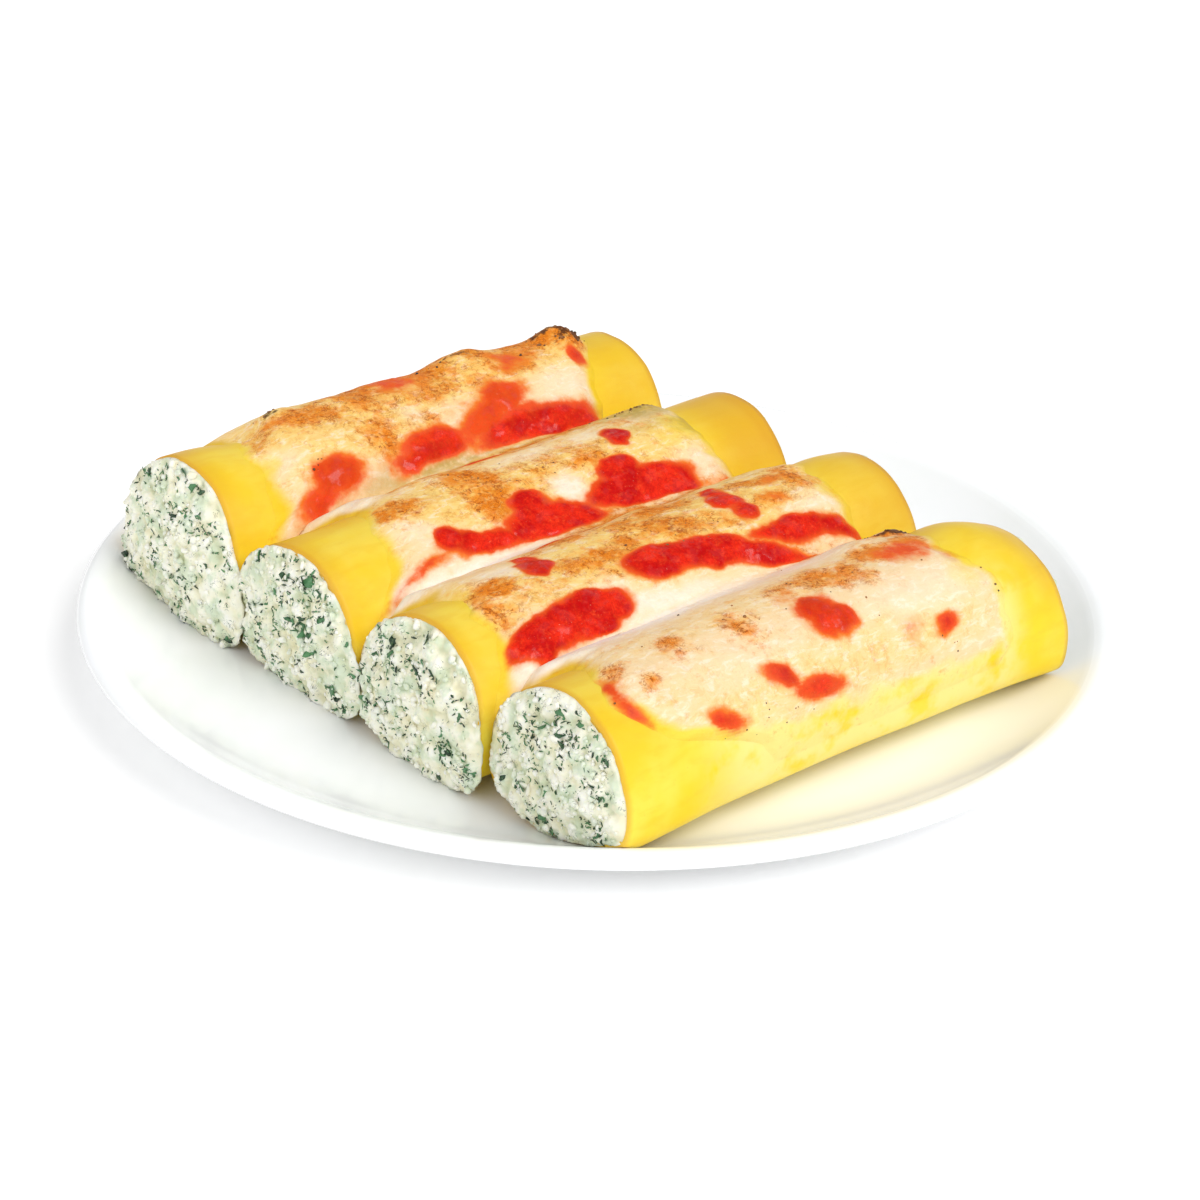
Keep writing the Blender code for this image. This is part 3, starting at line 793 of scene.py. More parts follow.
# %% Spoonfuls, smears and faint traces
TOMATO = {
    1: [(-41, 48.6, 5.2, 3.4, 4), (-46.5, 51.0, 5.0, 1.8, -24)],
    2: [(-15, 48.6, 6.2, 2.9, 3), (-21, 50, 3.6, 1.4, -14)],
    3: [(14.6, 51.2, 11.0, 2.8, 8), (5.5, 50.4, 6.0, 2.3, -6)],
    4: [(7.0, 43.0, 4.6, 3.4, -18), (0.5, 45.8, 6.2, 2.4, -24)],
    5: [(13.6, 79.2, 2.6, 3.4, 0)],
    6: [(9.5, 93, 13.2, 4.2, 3), (7.0, 88.0, 4.4, 3.6, 0), (18, 95, 5.6, 2.8, 14)],
    7: [(-16, 93.8, 11.0, 4.0, 5), (-18.5, 88.4, 4.4, 2.8, 0), (-8, 96.4, 5.0, 2.2, 8)],
    8: [(-40.4, 90.2, 2.9, 2.5, 0), (-33, 93.4, 8.6, 2.3, 11)],
    9: [(-38.6, 119.4, 3.8, 3.6, -6), (-37, 114.6, 2.0, 3.4, 6)],
    10: [(-15, 129.8, 8.4, 4.1, 4), (-4, 131.6, 10.0, 3.7, 14), (8, 136.2, 10.0, 2.0, 24)],
    11: [(10.6, 120.2, 3.6, 3.4, 0), (12.6, 115.4, 2.0, 3.6, 14), (12.0, 125.4, 2.2, 2.6, 0)],
    12: [(19.5, 133.6, 6.6, 2.7, 2), (29, 135.8, 7.0, 1.3, 16), (12.5, 132.4, 3.4, 1.2, 0)],
    13: [(-50.4, 135.6, 6.6, 3.7, 0), (-36.6, 135, 8.6, 4.4, 0), (-44, 135, 6.0, 3.9, 0)],
    14: [(-5.6, 168.2, 3.4, 2.8, 0), (-4.0, 172.4, 4.4, 3.0, 24)],
}
SMEARS = [(-48.6, 94.4, 6.4, 0.7, -9), (-22.6, 179.0, 4.0, 2.2, 36), (-14.6, 184.0, 6.0, 2.4, 10),
          (-38.4, 182.8, 3.6, 1.7, 28), (-57.4, 167, 0.9, 3.4, 4), (-55.8, 173, 1.0, 3.6, -14),
          (21.4, 181.4, 3.2, 2.0, -8), (33.4, 37, 2.2, 2.0, 30), (34, 97.4, 4.6, 0.7, -4),
          (24, 101.4, 3.6, 1.2, 30), (-28, 10, 5.0, 2.6, 10), (15, 14, 6.0, 2.2, -12),
          (-12, 62, 6.0, 2.0, 20), (-22, 106, 7.0, 2.4, -10)]
FAINT = [(-12, 27.5, 7.5, 6.5, 0, 0.56), (15.4, 32.4, 5.0, 4.6, 10, 0.54), (12, 180, 3.6, 3.6, 0, 0.42),
         (25, 162, 8.0, 5.0, 16, 0.6), (33, 167.5, 2.4, 2.4, 0, 0.42), (-26, 50, 6.0, 2.2, 0, 0.36),
         (-53, 53, 3.0, 1.6, 0, 0.4), (-46, 29, 7, 3.0, 0, 0.25), (20, 32, 9, 4.0, 10, 0.34),
         (-57.5, 176, 2.4, 4, 0, 0.3), (26, 118, 5, 3.0, -25, 0.34), (21, 125, 4, 2.0, 20, 0.42),
         (-4, 42, 9, 4, 0, 0.25), (-8, 163, 4, 2.4, 0, 0.34), (-52, 121, 3, 3, 0, 0.2)]
RIPE = {1: 0.72, 2: 0.88, 3: 0.94, 4: 0.68, 9: 0.9, 11: 0.9, 14: 0.8}     # how red; 1 if not listed
HALO = {1: 3.0, 2: 3.0, 3: 4.0, 4: 4.6, 14: 2.6}      # how far the juice spreads, in mm
PLAIN_HALO = 1.3
print("spoonfuls:", len(TOMATO), "smears:", len(SMEARS), "faint traces:", len(FAINT))

# %% [markdown]
# ## Where the cheese baked
# The oven browned the bubbles on the crests, gave the rest of the crests a
# warm cast and burnt a few bubbles. Each patch is an oval on the sheet too,
# with a strength at the end. Slopes that face away from the camera get patches
# like those in view.

# %% Browned, warm and burnt patches
PATCHES = {
    "brown": [
        (-47, 31, 9, 4, 0, 0.6), (-27, 43, 4.5, 6, 0, 0.85), (-15, 42, 5, 3, 0, 0.55),
        (-33, 31, 16, 6, 0, 0.6), (-8, 26, 22, 7, 0, 0.75), (22, 28, 16, 7, 0, 0.75),
        (34, 30, 8, 6, 0, 0.9), (10, 34, 20, 3, 0, 0.5), (0, 35, 50, 3.5, 0, 0.45),
        (-45, 77, 6, 5, 0, 0.85), (-26, 77, 6.5, 7, 0, 1.15), (-26, 86, 7, 5, 0, 0.8),
        (-16, 84, 5, 4, 0, 0.75), (-46, 84, 4, 3, 0, 0.4), (-11, 82, 5, 3, 0, 0.5),
        (4, 84, 7, 4, 0, 0.65), (-35, 66, 14, 5, 10, 0.7), (0, 66, 18, 5, 0, 0.6),
        (-24, 109, 8, 5, 0, 0.6), (6, 108, 12, 3, 0, 0.5), (30, 152, 10, 4, 0, 0.8),
        (-5, 78, 18, 6, 0, 0.3), (24, 76, 10, 4, 20, 0.35), (-52, 121, 6, 5, 0, 0.95),
        (-53, 127, 7, 4, 0, 0.8), (-44, 126, 6, 3, 0, 0.5), (-27, 123, 10, 5, 0, 0.7),
        (-10, 121, 12, 5, 10, 0.7), (3, 125, 7, 4, 20, 0.75), (19, 126, 6, 3.5, 10, 0.85),
        (32, 120, 6, 6, 20, 0.75), (26, 117, 10, 3, 10, 0.7), (-12, 113, 22, 4, 0, 0.75),
        (-30, 129, 4, 3, 0, 0.7), (22, 139, 10, 2, 5, 0.3), (-55, 163, 4, 6, 0, 0.5),
        (-38, 165, 4.5, 5, 20, 0.65), (-49.5, 170, 2.8, 2.6, 0, 0.7), (-22, 166, 4.6, 6, 10, 0.75),
        (-4, 160, 10, 4, 0, 0.45), (6, 161, 9, 6, 0, 0.7), (12, 166, 4, 3, 0, 0.5),
        (24, 159, 12, 5, 0, 0.8), (35, 166, 4, 5, 0, 0.55), (26, 148, 14, 4, 8, 0.5),
        (-20, 12, 26, 5, 0, 0.5), (24, 12, 14, 5, 0, 0.45), (0, 156, 50, 3, 0, 0.15),
        (-2, 61, 32, 4, 0, 0.6), (6, 102, 30, 5, 0, 0.65), (12, 97, 24, 3, 0, 0.5),
        (20, 143, 18, 4, 0, 0.3)],
    "warm": [
        (-46, 85, 10, 6, 0, 0.7), (-40, 174, 16, 6, 0, 0.45), (-8, 30, 70, 14, 0, 1.1),
        (-30, 42, 40, 7, 0, 0.75), (-20, 80, 50, 12, 0, 0.95), (0, 122, 70, 13, 0, 1.0),
        (20, 84, 22, 9, 0, 0.9), (-10, 160, 60, 7, 0, 0.4), (0, 8, 60, 14, 0, 0.8),
        (25, 62, 30, 12, 0, 0.9), (-15, 63, 40, 8, 0, 1.0), (0, 106, 50, 6, 0, 0.9),
        (-8, 182, 60, 8, 0, 0.5)],
    "burnt": [
        (33, 152.6, 7.0, 1.9, 0, 1.0), (30, 67.8, 8.0, 1.6, 0, 0.7), (36, 30, 4.5, 3.0, 0, 1.2),
        (31, 27, 3.0, 2.4, 0, 0.9), (7, 26, 6.0, 2.0, 0, 0.65), (-43, 25, 2.6, 1.6, 0, 0.8),
        (-12, 25, 3.0, 1.2, 0, 0.5), (40, 60, 6.0, 0.9, 0, 0.5), (30, 112.6, 6, 0.9, 0, 0.55),
        (14, 112.4, 9, 0.7, 0, 0.45)],
}
print("browned patches:", len(PATCHES["brown"]))

# %% [markdown]
# ## Where the cheese stayed pale or thin
# Between the rolls the cheese pooled. There it is milky with painted highlight, or dull olive with painted
# shade in the deep valleys and on far shoulders. Near its edges it is thin enough to let the pasta through.

# %% Milky with highlight, shaded and thin places
PATCHES.update({
    # milk: pale pooled cheese, with painted highlight in the valleys
    "milk": [
        (24, 43, 10, 4.6, 0, 0.3), (-54, 41, 7, 4, 0, 0.35), (-8, 44, 6, 2.0, 0, 0.3),
        (-8, 74, 10, 3, 0, 0.35), (-44, 101, 24, 5, 0, 0.95), (-46, 86, 6, 4, 30, 0.4),
        (-30, 146, 36, 6, 0, 0.9), (10, 147, 12, 5, 0, 0.5), (-56, 140, 10, 2.6, 0, 0.7),
        (-46, 62, 7, 7, 0, 0.6), (-20, 138, 14, 2.4, 6, 0.6), (28, 130, 8, 2.4, 10, 0.4),
        (20, 174, 14, 5, 0, 0.2), (-34, 173, 12, 4, 0, 0.15), (-45, 116, 6, 3, 0, 0.5),
        (-30, 133, 4, 4, 20, 0.5), (26, 91, 5, 4, 0, 0.3), (29, 128, 6, 3.4, 0, 0.25),
        (-5, 41, 7, 3, 0, 0.25), (-7, 88, 4, 4, 0, 0.7), (8, 75, 5, 3, 0, 0.4), (-16, 40, 3, 3, 0, 0.3),
        (-56, 96, 6, 2, 0, 0.6)],
    # olive: painted shade in the deep valleys and on far shoulders
    "olive": [
        (-10, 60, 34, 4.5, 0, 0.75), (36, 154, 9, 4, 0, 0.7), (0, 103, 40, 3, 0, 0.4),
        (-14, 53.2, 22, 3.0, 0, 1.0), (-44, 54, 12, 1.5, 0, 0.5), (34, 52.4, 10, 2.8, 0, 1.0),
        (27, 70, 11, 5, 0, 1.0), (18, 66, 14, 4, 0, 0.6), (42, 108, 6, 3, 0, 0.4),
        (40, 150, 9, 5, 0, 0.6), (24, 78, 10, 3, 0, 0.35), (34, 79, 7, 5, 0, 0.7)],
    "thin": [
        (28, 81, 9, 8, 0, 0.62), (-55, 90, 5, 4, 0, 0.5), (-56, 116, 4, 6, 0, 0.6),
        (-45, 71, 5, 4, 0, 0.5), (35, 124, 4, 9, 0, 0.5), (32, 172, 7, 8, 0, 0.4),
        (-56, 44, 3, 5, 0, 0.5), (30, 66, 12, 8, 0, 0.6), (-54, 66, 6, 6, 0, 0.6),
        (30, 104, 10, 5, 0, 0.5)],
})
print("patches:", {key: len(places) for key, places in PATCHES.items()})

# %% [markdown]
# ## From ovals to paint masks
# Patches fade softly from the middle out. Spoonfuls need a border, so for them
# the depth inside the joined ovals is measured. Before either, the places are
# shifted a little at random, so that no outline is a plain oval.

# %% Reading the ovals
FADE, FADE_POWER = 0.9, 1.5
OVALS_MELT = 0.8 * mm
FAR_OUTSIDE = -1.0


def in_oval(x, w, oval):
    """A place told along and across one oval; its border is 1 away from its middle."""
    cx, cw, length, width, turn = oval
    a = math.radians(turn)
    away_x, away_w = x / mm - cx, w / mm - cw
    return ((away_x * math.cos(a) + away_w * math.sin(a)) / length,
            (away_w * math.cos(a) - away_x * math.sin(a)) / width)


def spots(x, w, places):
    """Strength of soft oval spots at x, w on the sheet."""
    best = np.zeros(np.shape(x))
    for *oval, strength in places:
        u, v = in_oval(x, w, oval)
        best = np.maximum(best, strength * np.exp(-FADE * (u * u + v * v) ** FADE_POWER))
    return best


def depth_inside(x, w, places):
    """How far inside a group of joined ovals a place is, in metres; negative outside."""
    best = np.full(np.shape(x), FAR_OUTSIDE)
    for oval in places:
        u, v = in_oval(x, w, oval)
        best = smooth_max(best, (1 - np.hypot(u, v)) * min(oval[2:4]) * mm, OVALS_MELT)
    return best


def wobbled(x, w, points):
    """Sheet places shifted a little at random."""
    return (x + mm * uneven(points, (1.1, 4, 11), (0.3, 1.5, 12)),
            w + mm * uneven(points, (0.8, 4, 13), (0.3, 1.5, 14)))


deepest = depth_inside(0.0, 0.0, [(0, 0, 4, 2, 0)])
print("depth in the middle of an oval of 4 by 2 mm:", round(float(deepest) / mm, 1))

# %% [markdown]
# ## One answer for cheese and tomato
# The cheese and each spoonful on it are separate meshes, but they are painted
# from the same masks. So one function gives them all for any place on the
# sheet. Milky cheese stays pale in the oven, and each spoonful has its own
# redness and its own halo of juice.

# %% All masks at a place
MILK_STAYS_PALE = 0.7


def top_masks(x, w, points):
    """All the paint masks of the baked top at places on the sheet."""
    x, w = wobbled(x, w, points)
    found = {key: spots(x, w, places) for key, places in PATCHES.items()}
    found["brown"] = found["brown"] * (1 - MILK_STAYS_PALE * found["milk"])
    smeared = 0.8 * ease(depth_inside(x, w, SMEARS), -2.0 * mm, 1.6 * mm)
    tomato = np.maximum(smeared, spots(x, w, FAINT))
    for number, spoonful in TOMATO.items():
        halo = HALO.get(number, PLAIN_HALO) * mm + 0.6 * mm
        strength = ease(depth_inside(x, w, spoonful), -halo, 1.0 * mm)
        tomato = np.maximum(tomato, RIPE.get(number, 1.0) * strength)
    found["tomato"] = tomato
    return found


one_place = np.array([-26 * mm]), np.array([77 * mm])
found = top_masks(*one_place, np.zeros((1, 3)))
print("masks on a browned bubble:", {key: round(float(value[0]), 2) for key, value in found.items()})

# %% [markdown]
# ## The edges of the cheese
# The sheet ends in a wavy line short of the roll ends. A few chosen places
# give its course, and small hills make it wander between them.

# %% Edges of the cheese, in mm: w and x
NEAR_EDGE = [(0, -54), (20, -58), (30, -57.5), (40, -56.5), (47, -57.5), (51, -59.5), (54, -63),
             (57, -60), (62, -53), (68, -50), (74, -51.5), (80, -53.5), (86, -54), (91, -56), (95, -60.5),
             (98, -65.5), (103, -65.5), (110, -60), (118, -57), (124, -60), (130, -59.5), (136, -61),
             (140, -65), (145, -62), (150, -56.5), (155, -54), (160, -56), (166, -60), (172, -59),
             (178, -55.5), (181, -53), (183, -49), (185, -43), (188, -35), (191, -30), (195, -27),
             (200, -25)]
FAR_EDGE = [(0, 38), (12, 42), (24, 44), (31, 43), (36, 39), (41, 36), (46, 34.5), (51, 33), (55, 33.5),
            (60, 38), (68, 38), (76, 36), (83, 34), (90, 35), (96, 38), (100, 39.5), (108, 40.5),
            (118, 38.5), (126, 38.5), (135, 38), (140, 40.5), (148, 40.5), (156, 37.5), (163, 36.8),
            (172, 38.6), (180, 40), (186, 40.5), (192, 39), (196, 36), (200, 33)]
CHEESE_ROWS, CHEESE_COLUMNS = 158, 304


def edge_x(w, places, seed):
    """x of the wavy edge of the cheese at w."""
    known = np.array(places, float) * mm
    line = np.stack([w, 0 * w, 0 * w], -1)
    return np.interp(w, *known.T) + mm * uneven(line, (0.9, 5, seed), (0.4, 2, seed + 1))


across = np.linspace(0, SHEET_WIDTH, CHEESE_COLUMNS)
share_across = np.interp(across, walked, shares)
x_from, x_to = edge_x(across, NEAR_EDGE, 21), edge_x(across, FAR_EDGE, 23)
sheet_x = x_from + (x_to - x_from) * np.linspace(0, 1, CHEESE_ROWS)[:, None]
sheet_w = across + 0 * sheet_x
upper = sheet(sheet_x, share_across + 0 * sheet_x)
lower = sheet(sheet_x, share_across + 0 * sheet_x, top=False)
print("cheese, mm long:", round((x_to - x_from).min() / mm, 1), "to", round((x_to - x_from).max() / mm, 1))

# %% [markdown]
# ## Masks of the cheese
# Towards its edge the cheese thins to a film and lets the pasta show. Down the
# front of the last roll it thins in two steps, first to a veil and then to
# nothing, along a slanting line. Where it's thin, the paint needs to know how
# golden the pasta below is.

# %% Thin, golden and filmy cheese
FRONT_LINE_X = np.multiply([-60, -40, -20, 0, 20, 40], mm)
FRONT_LINE_W = np.multiply([180.5, 182.5, 185.5, 188, 190, 190], mm)
FRONT_EDGE_IS_NARROW = 0.55
BEYOND_OUTER_ROLLS = 4 * mm
border = np.minimum(np.minimum(sheet_x - x_from, x_to - sheet_x),
                    np.minimum(sheet_w, (SHEET_WIDTH - sheet_w) * FRONT_EDGE_IS_NARROW))
film = ease(border + mm * uneven(upper, (2.0, 5, 31)), 0.2 * mm, 7.0 * mm)
past_line = sheet_w - np.interp(sheet_x, FRONT_LINE_X, FRONT_LINE_W)
mottled_line = past_line + mm * uneven(upper, (2.6, 5, 30))
veil = 0.42 * ease(mottled_line, -4.5 * mm, 2.5 * mm) + 0.58 * ease(mottled_line, 1.5 * mm, 6.5 * mm)
near_corner = ease(-sheet_x, 30 * mm, 44 * mm) * ease(past_line, -2 * mm, 2 * mm)
masks = top_masks(sheet_x, sheet_w, upper)
masks["thin"] = np.clip(np.maximum(masks["thin"], 1 - film + np.maximum(veil, near_corner)), 0, 1)
masks["tomato"] = masks["tomato"] * ease(border, 0, 1.5 * mm)
x, y, z = np.moveaxis(upper, -1, 0)
masks["golden"] = 0 * x
for roll in ROLLS:
    mid, half, _, _ = roll_shape(roll, x)
    back_reach = half + (BEYOND_OUTER_ROLLS if roll is ROLLS[0] else 0)
    front_reach = half + (BEYOND_OUTER_ROLLS if roll is ROLLS[-1] else 0)
    on_roll = (y - mid < back_reach) & (mid - y < front_reach)
    masks["golden"] = np.where(on_roll, pasta_gold_and_shade(roll, x, y, z), masks["golden"])
masks["film"] = side_film(x, y, z)
print("share of the cheese that is thin:", round(float((masks["thin"] > 0.5).mean()), 2))

# %% [markdown]
# ## Melted cheese
# The slab is raised by low hills, by strings of melted cheese in the valleys
# and by the smears and burnt bubbles, tapers to the pasta at its border, and
# dips into the pasta there, so that no straight edge is left standing.

# %% Slab of melted cheese
STRINGS_DRAWN_OUT = 9           # strings run along the rolls
FULLER_VALLEY, FULLER_AT_ENDS, VALLEY_REACH = 1.3, 0.8, 6.5 * mm
raised = uneven(upper, (0.34, 9, 32), (0.16, 3.6, 33))
raised += masks["brown"] * uneven(upper, (0.16, 1.4, 34))
stringy = np.stack([sheet_x / STRINGS_DRAWN_OUT, sheet_w, 0 * sheet_w], -1)
raised += masks["milk"] * uneven(stringy, (0.30, 2.2, 35), (0.12, 1.0, 36))
raised += 0.25 * ease(depth_inside(*wobbled(sheet_x, sheet_w, upper), SMEARS), -0.3 * mm, 1.6 * mm)
raised += masks["burnt"] * (0.5 + uneven(upper, (0.6, 1.6, 37)))
for roll in ROLLS[:-1]:
    mid, half, _, _ = roll_shape(roll, x)
    fuller = FULLER_VALLEY + FULLER_AT_ENDS * (1 - middle_share(x))
    raised += fuller * np.exp(-((y - mid + half) / VALLEY_REACH) ** 2)
taper = ease(border, -1.0 * mm, 8.5 * mm)[..., None]
dip = 0.30 * mm * (1 - ease(border, 0, 2.6 * mm))[..., None]
outward = normals_of(upper)
cheese_grid = lower + (upper - lower) * taper + outward * ((raised * mm)[..., None] * taper - dip)
lower = lower - outward * (dip + 0.1 * mm)
cheese_normals = normals_of(cheese_grid)
points, faces, masks = slab(cheese_grid, lower, masks)
make_piece("melted_cheese", points, faces, cheese_finish, masks, ["cheese_cover"])

# %% [markdown]
# ## Finding a place on the cheese
# Toppings have to lie on the cheese as it was built, lumps and all. Its grid
# of points is kept, and read between its points for any x and w.

# %% Places on the cheese
JUST_INSIDE = 1.001          # keeps the last place inside the last cell


def ends_of_cheese(w):
    """x of the near and the far edge of the cheese at w."""
    return (np.interp(w, across, line) for line in (x_from, x_to))


def on_cheese(x, w, grid):
    """Values of a grid over the cheese at places x, w, between its points."""
    column = np.clip(w / SHEET_WIDTH * (CHEESE_COLUMNS - 1), 0, CHEESE_COLUMNS - JUST_INSIDE)
    start, end = ends_of_cheese(w)
    row = np.clip((x - start) / (end - start), 0, 1) * (CHEESE_ROWS - JUST_INSIDE)
    i, j = row.astype(int), column.astype(int)
    fi, fj = (row - i)[..., None], (column - j)[..., None]
    return ((grid[i, j] * (1 - fj) + grid[i, j + 1] * fj) * (1 - fi)
            + (grid[i + 1, j] * (1 - fj) + grid[i + 1, j + 1] * fj) * fi)


print("edges half way across the sheet, x in mm:",
      [round(float(edge) / mm, 1) for edge in ends_of_cheese(SHEET_WIDTH / 2)])

# %% [markdown]
# ## Tomato
# A spoonful of chopped tomato sinks a little into hot cheese. Each is a thin
# cushion on the sheet, highest in its middle and dipping under the cheese at
# its ragged border, so its outline is where two soft surfaces cross. Cutting
# the two meshes into each other would give a hard line instead.

# %% Spoonfuls of chopped tomato
TOMATO_CELL, TOMATO_MARGIN = 0.36 * mm, 3
TOMATO_RISE, TOMATO_DIP = 0.55, 0.10


def cells_along(spoonful, axis):
    """Evenly spaced places that reach past all ovals of a spoonful along one axis."""
    low = min(oval[axis] - (max(oval[2:4]) + TOMATO_MARGIN) for oval in spoonful) * mm
    high = max(oval[axis] + (max(oval[2:4]) + TOMATO_MARGIN) for oval in spoonful) * mm
    return np.arange(low, high, TOMATO_CELL)


for number, spoonful in TOMATO.items():
    x, w = np.meshgrid(cells_along(spoonful, 0), cells_along(spoonful, 1), indexing="ij")
    seat, lean = on_cheese(x, w, cheese_grid), on_cheese(x, w, cheese_normals)
    skin = sheet(x, np.interp(w, walked, shares))
    masks = {**top_masks(x, w, skin), "golden": 0 * x, "film": 0 * x}
    inside = depth_inside(*wobbled(x, w, skin), spoonful)
    rise = TOMATO_RISE * ease(inside, -1.2 * mm, 2.4 * mm) - TOMATO_DIP
    rise += uneven(seat, (0.12, 2.4, 41), (0.03, 0.8, 42)) * ease(inside, 0, 1 * mm)
    wet = inside > -1.0 * mm
    keep = wet[:-1, :-1] | wet[1:, :-1] | wet[:-1, 1:] | wet[1:, 1:]
    points, faces, masks = slab(seat + lean * (rise * mm)[..., None], seat - lean * 0.5 * mm, masks, keep)
    make_piece("tomato_spoonful_%02d" % number, points, faces, tomato_finish, masks,
               ["tomato_%02d" % number])

# %% [markdown]
# ## Egg pasta
# Each roll is a sheet of fresh egg pasta, smooth and saturated yellow, with a golden painted shade where it
# curves away from the light. Its cut edge is a little duller, for the dough dries there first.

# %% Pasta material
pasta_finish, finish, where = material("egg_pasta", {
    "Subsurface Weight": 0.18, "Subsurface Radius": (1.0, 0.75, 0.15), "Subsurface Scale": 1.6 * mm,
    "Coat Weight": 0.06, "Coat Roughness": 0.3, "Specular IOR Level": 0.2, "Roughness": 0.42})
skin_masks = {"Golden": mask(where, "golden"), "Film": mask(where, "film")}
paint = use(yolk, {"Vector": where, **skin_masks})["Color"]
give(finish["Base Color"], mix(times(mask(where, "cut"), 0.5), paint, "E2A23C"))
raise_surface(finish, lumpy(where, 3.5, 0.12), 0.3, 0.3)
print("material:", pasta_finish.name)

# %% [markdown]
# ## The tubes of pasta
# A roll is a tube with a real wall thickness. The outer skin sags and ripples
# by a tenth of a millimetre, except where it rests on the plate, and the cut
# ends wander a little, as the knife pulled at the soft dough.

# %% Pasta tubes
RING_POINTS, PASTA_RINGS = 144, 88
CUT_WANDERS, ALONG_IS_LONG = 0.5, [0.3, 1, 1]
around = np.linspace(0, 2 * math.pi, RING_POINTS, endpoint=False)[None, :]


def there_and_back(outer, inner):
    """Rings of the outer skin to the far end, then of the inner skin back again."""
    return np.concatenate([outer, inner[::-1]])


t = np.linspace(0, 1, PASTA_RINGS)[:, None] + 0 * around
for count, roll in enumerate(ROLLS, start=1):
    x = roll["near"] + (roll["far"] - roll["near"]) * t
    y, z, back = outline(roll, x, around, 0.0)
    skin = np.stack([x + back, y, z], -1)
    across_only = skin * [0, 1, 1]
    wave = mm * uneven(across_only, (CUT_WANDERS, 9, 50 + count)) * ease(np.abs(t - 0.5), 0.42, 0.5)
    skin[..., 0] += wave
    inner_y, inner_z, inner_back = outline(roll, x, around, PASTA_WALL)
    inner = np.stack([x + inner_back + wave, inner_y, inner_z], -1)
    middle = np.stack([x, 0 * y + y.mean(1, keepdims=True), 0 * z + z.mean(1, keepdims=True)], -1)
    outward = normals_of(skin)
    outward *= np.sign(np.sum(outward * (skin - middle), -1, keepdims=True))
    sag = uneven(skin, (0.13, 16, 60)) + uneven(skin * ALONG_IS_LONG, (0.05, 3, 61))
    above_plate = ease(z, PLATE_BASE + 1 * mm, PLATE_BASE + 4 * mm)
    skin = skin + outward * (sag * above_plate * mm)[..., None]
    golden, film = pasta_gold_and_shade(roll, x, y, z), side_film(x, y, z)
    masks = {"golden": there_and_back(golden, golden), "film": there_and_back(film, film),
             "cut": there_and_back(ease(np.abs(t - 0.5), 0.492, 0.5), np.ones_like(t))}
    make_piece("pasta_roll_%d" % count, there_and_back(skin, inner),
               tube_faces(2 * PASTA_RINGS, RING_POINTS, True), pasta_finish, masks,
               ["pasta_%d" % count])

# %% [markdown]
# ## Ricotta and spinach filling
# The filling is wet ricotta that breaks into white curds, tinted green round
# the chopped spinach, with a thread of leaf here and there. Leaf scraps are
# dark green with a paler side, and a little wet.

# %% Filling materials
ricotta_finish, finish, where = material("ricotta_filling", {
    "Subsurface Weight": 0.25, "Subsurface Radius": (1.0, 0.9, 0.6), "Subsurface Scale": 1.2 * mm,
    "Roughness": 0.5, "Coat Weight": 0.15, "Coat Roughness": 0.3, "Specular IOR Level": 0.4})
paint = mix(mask(where, "curd"), "F8F5DA", "FFFEF2")
buttery = soft_step(grain(where, 6.0, 2.0), 0.50, 0.75)
paint = mix(times(buttery, 0.5), paint, "F3E8BE")
green = soft_step(grain(where, 4.0), 0.44, 0.64)
paint = mix(times(green, 0.6), paint, "C2D8B6")
# painted shade: the crevices between the curds are darker
paint = mix(times(mask(where, "crevice"), 0.45), paint, "C4C08C")
juice = soft_step(grain(where, 1.1, 4.0, 0.6), 0.62, 0.76)
paint = mix(times(juice, 0.4), paint, "8FA878")
leafy = soft_step(grain(where, 2.6, 2.0), 0.52, 0.66)
give(finish["Base Color"], mix(times(threads(where, 1.9, 0.018), leafy, 0.85), paint, "24412B"))
raise_surface(finish, lumpy(where, 1.2, 0.5), 0.6, 0.3)

spinach_finish, finish, where = material("chopped_spinach", {
    "Roughness": 0.38, "Coat Weight": 0.2, "Coat Roughness": 0.2, "Specular IOR Level": 0.4})
paint = mix(soft_step(mask(where, "shade"), 0.1, 0.9), "1B3420", "558C5C")
vein = grain(where, 0.5)
give(finish["Base Color"], mix(times(soft_step(vein, 0.5, 0.7), 0.35), paint, "7FA56A"))
raise_surface(finish, vein, 0.5, 0.1)
print("materials:", ricotta_finish.name, spinach_finish.name)

# %% [markdown]
# ## The open ends
# The body of the filling is a plug with two crumbly faces. Each face swells
# out of the pasta and just covers its cut edge; at the near ends it spills
# over the left side and the foot, most of all on roll 1. Two sizes of curd
# raise it, the large ones white and the gaps between them in shadow.

# %% Crumbly faces
FACE_POINTS, FACE_RINGS = 248, 42
BEHIND_CUT, RIM_INSET = 0.7 * mm, 0.35 * mm
FAR_SPILL, LEAST_SPILL = 0.3 * mm, 0.25
SPILLS = [(2.4, 2.0, 4.0, 5), (1.2, 1.6, 3.4, 10), (0.7, 1.4, 2.6, 6), (0.3, 0.9, 0.0, 7)]
circle = np.linspace(0, 2 * math.pi, FACE_POINTS, endpoint=False)[None, :]


def overflow(number, around):
    """How far a near face spills over the cut edge of the pasta at each angle, in metres."""
    left, right = np.maximum(np.cos(around), 0), np.maximum(-np.cos(around), 0)
    low, high = np.maximum(-np.sin(around), 0), np.maximum(np.sin(around), 0)
    at_side, at_foot, at_right_foot, at_shoulder = SPILLS[number - 1]
    spill = at_side * left * (1 - high) + at_foot * low + at_right_foot * right * (1 - high) ** 1.5
    return (spill + at_shoulder * left * high * (1 - high) + LEAST_SPILL) * mm


def pointing_out(face, side):
    """Unit normals of an open face, pointing along x to its own side: -1 is near, 1 is far."""
    flat = normals_of(face)
    return flat * np.sign(flat[..., :1]) * side


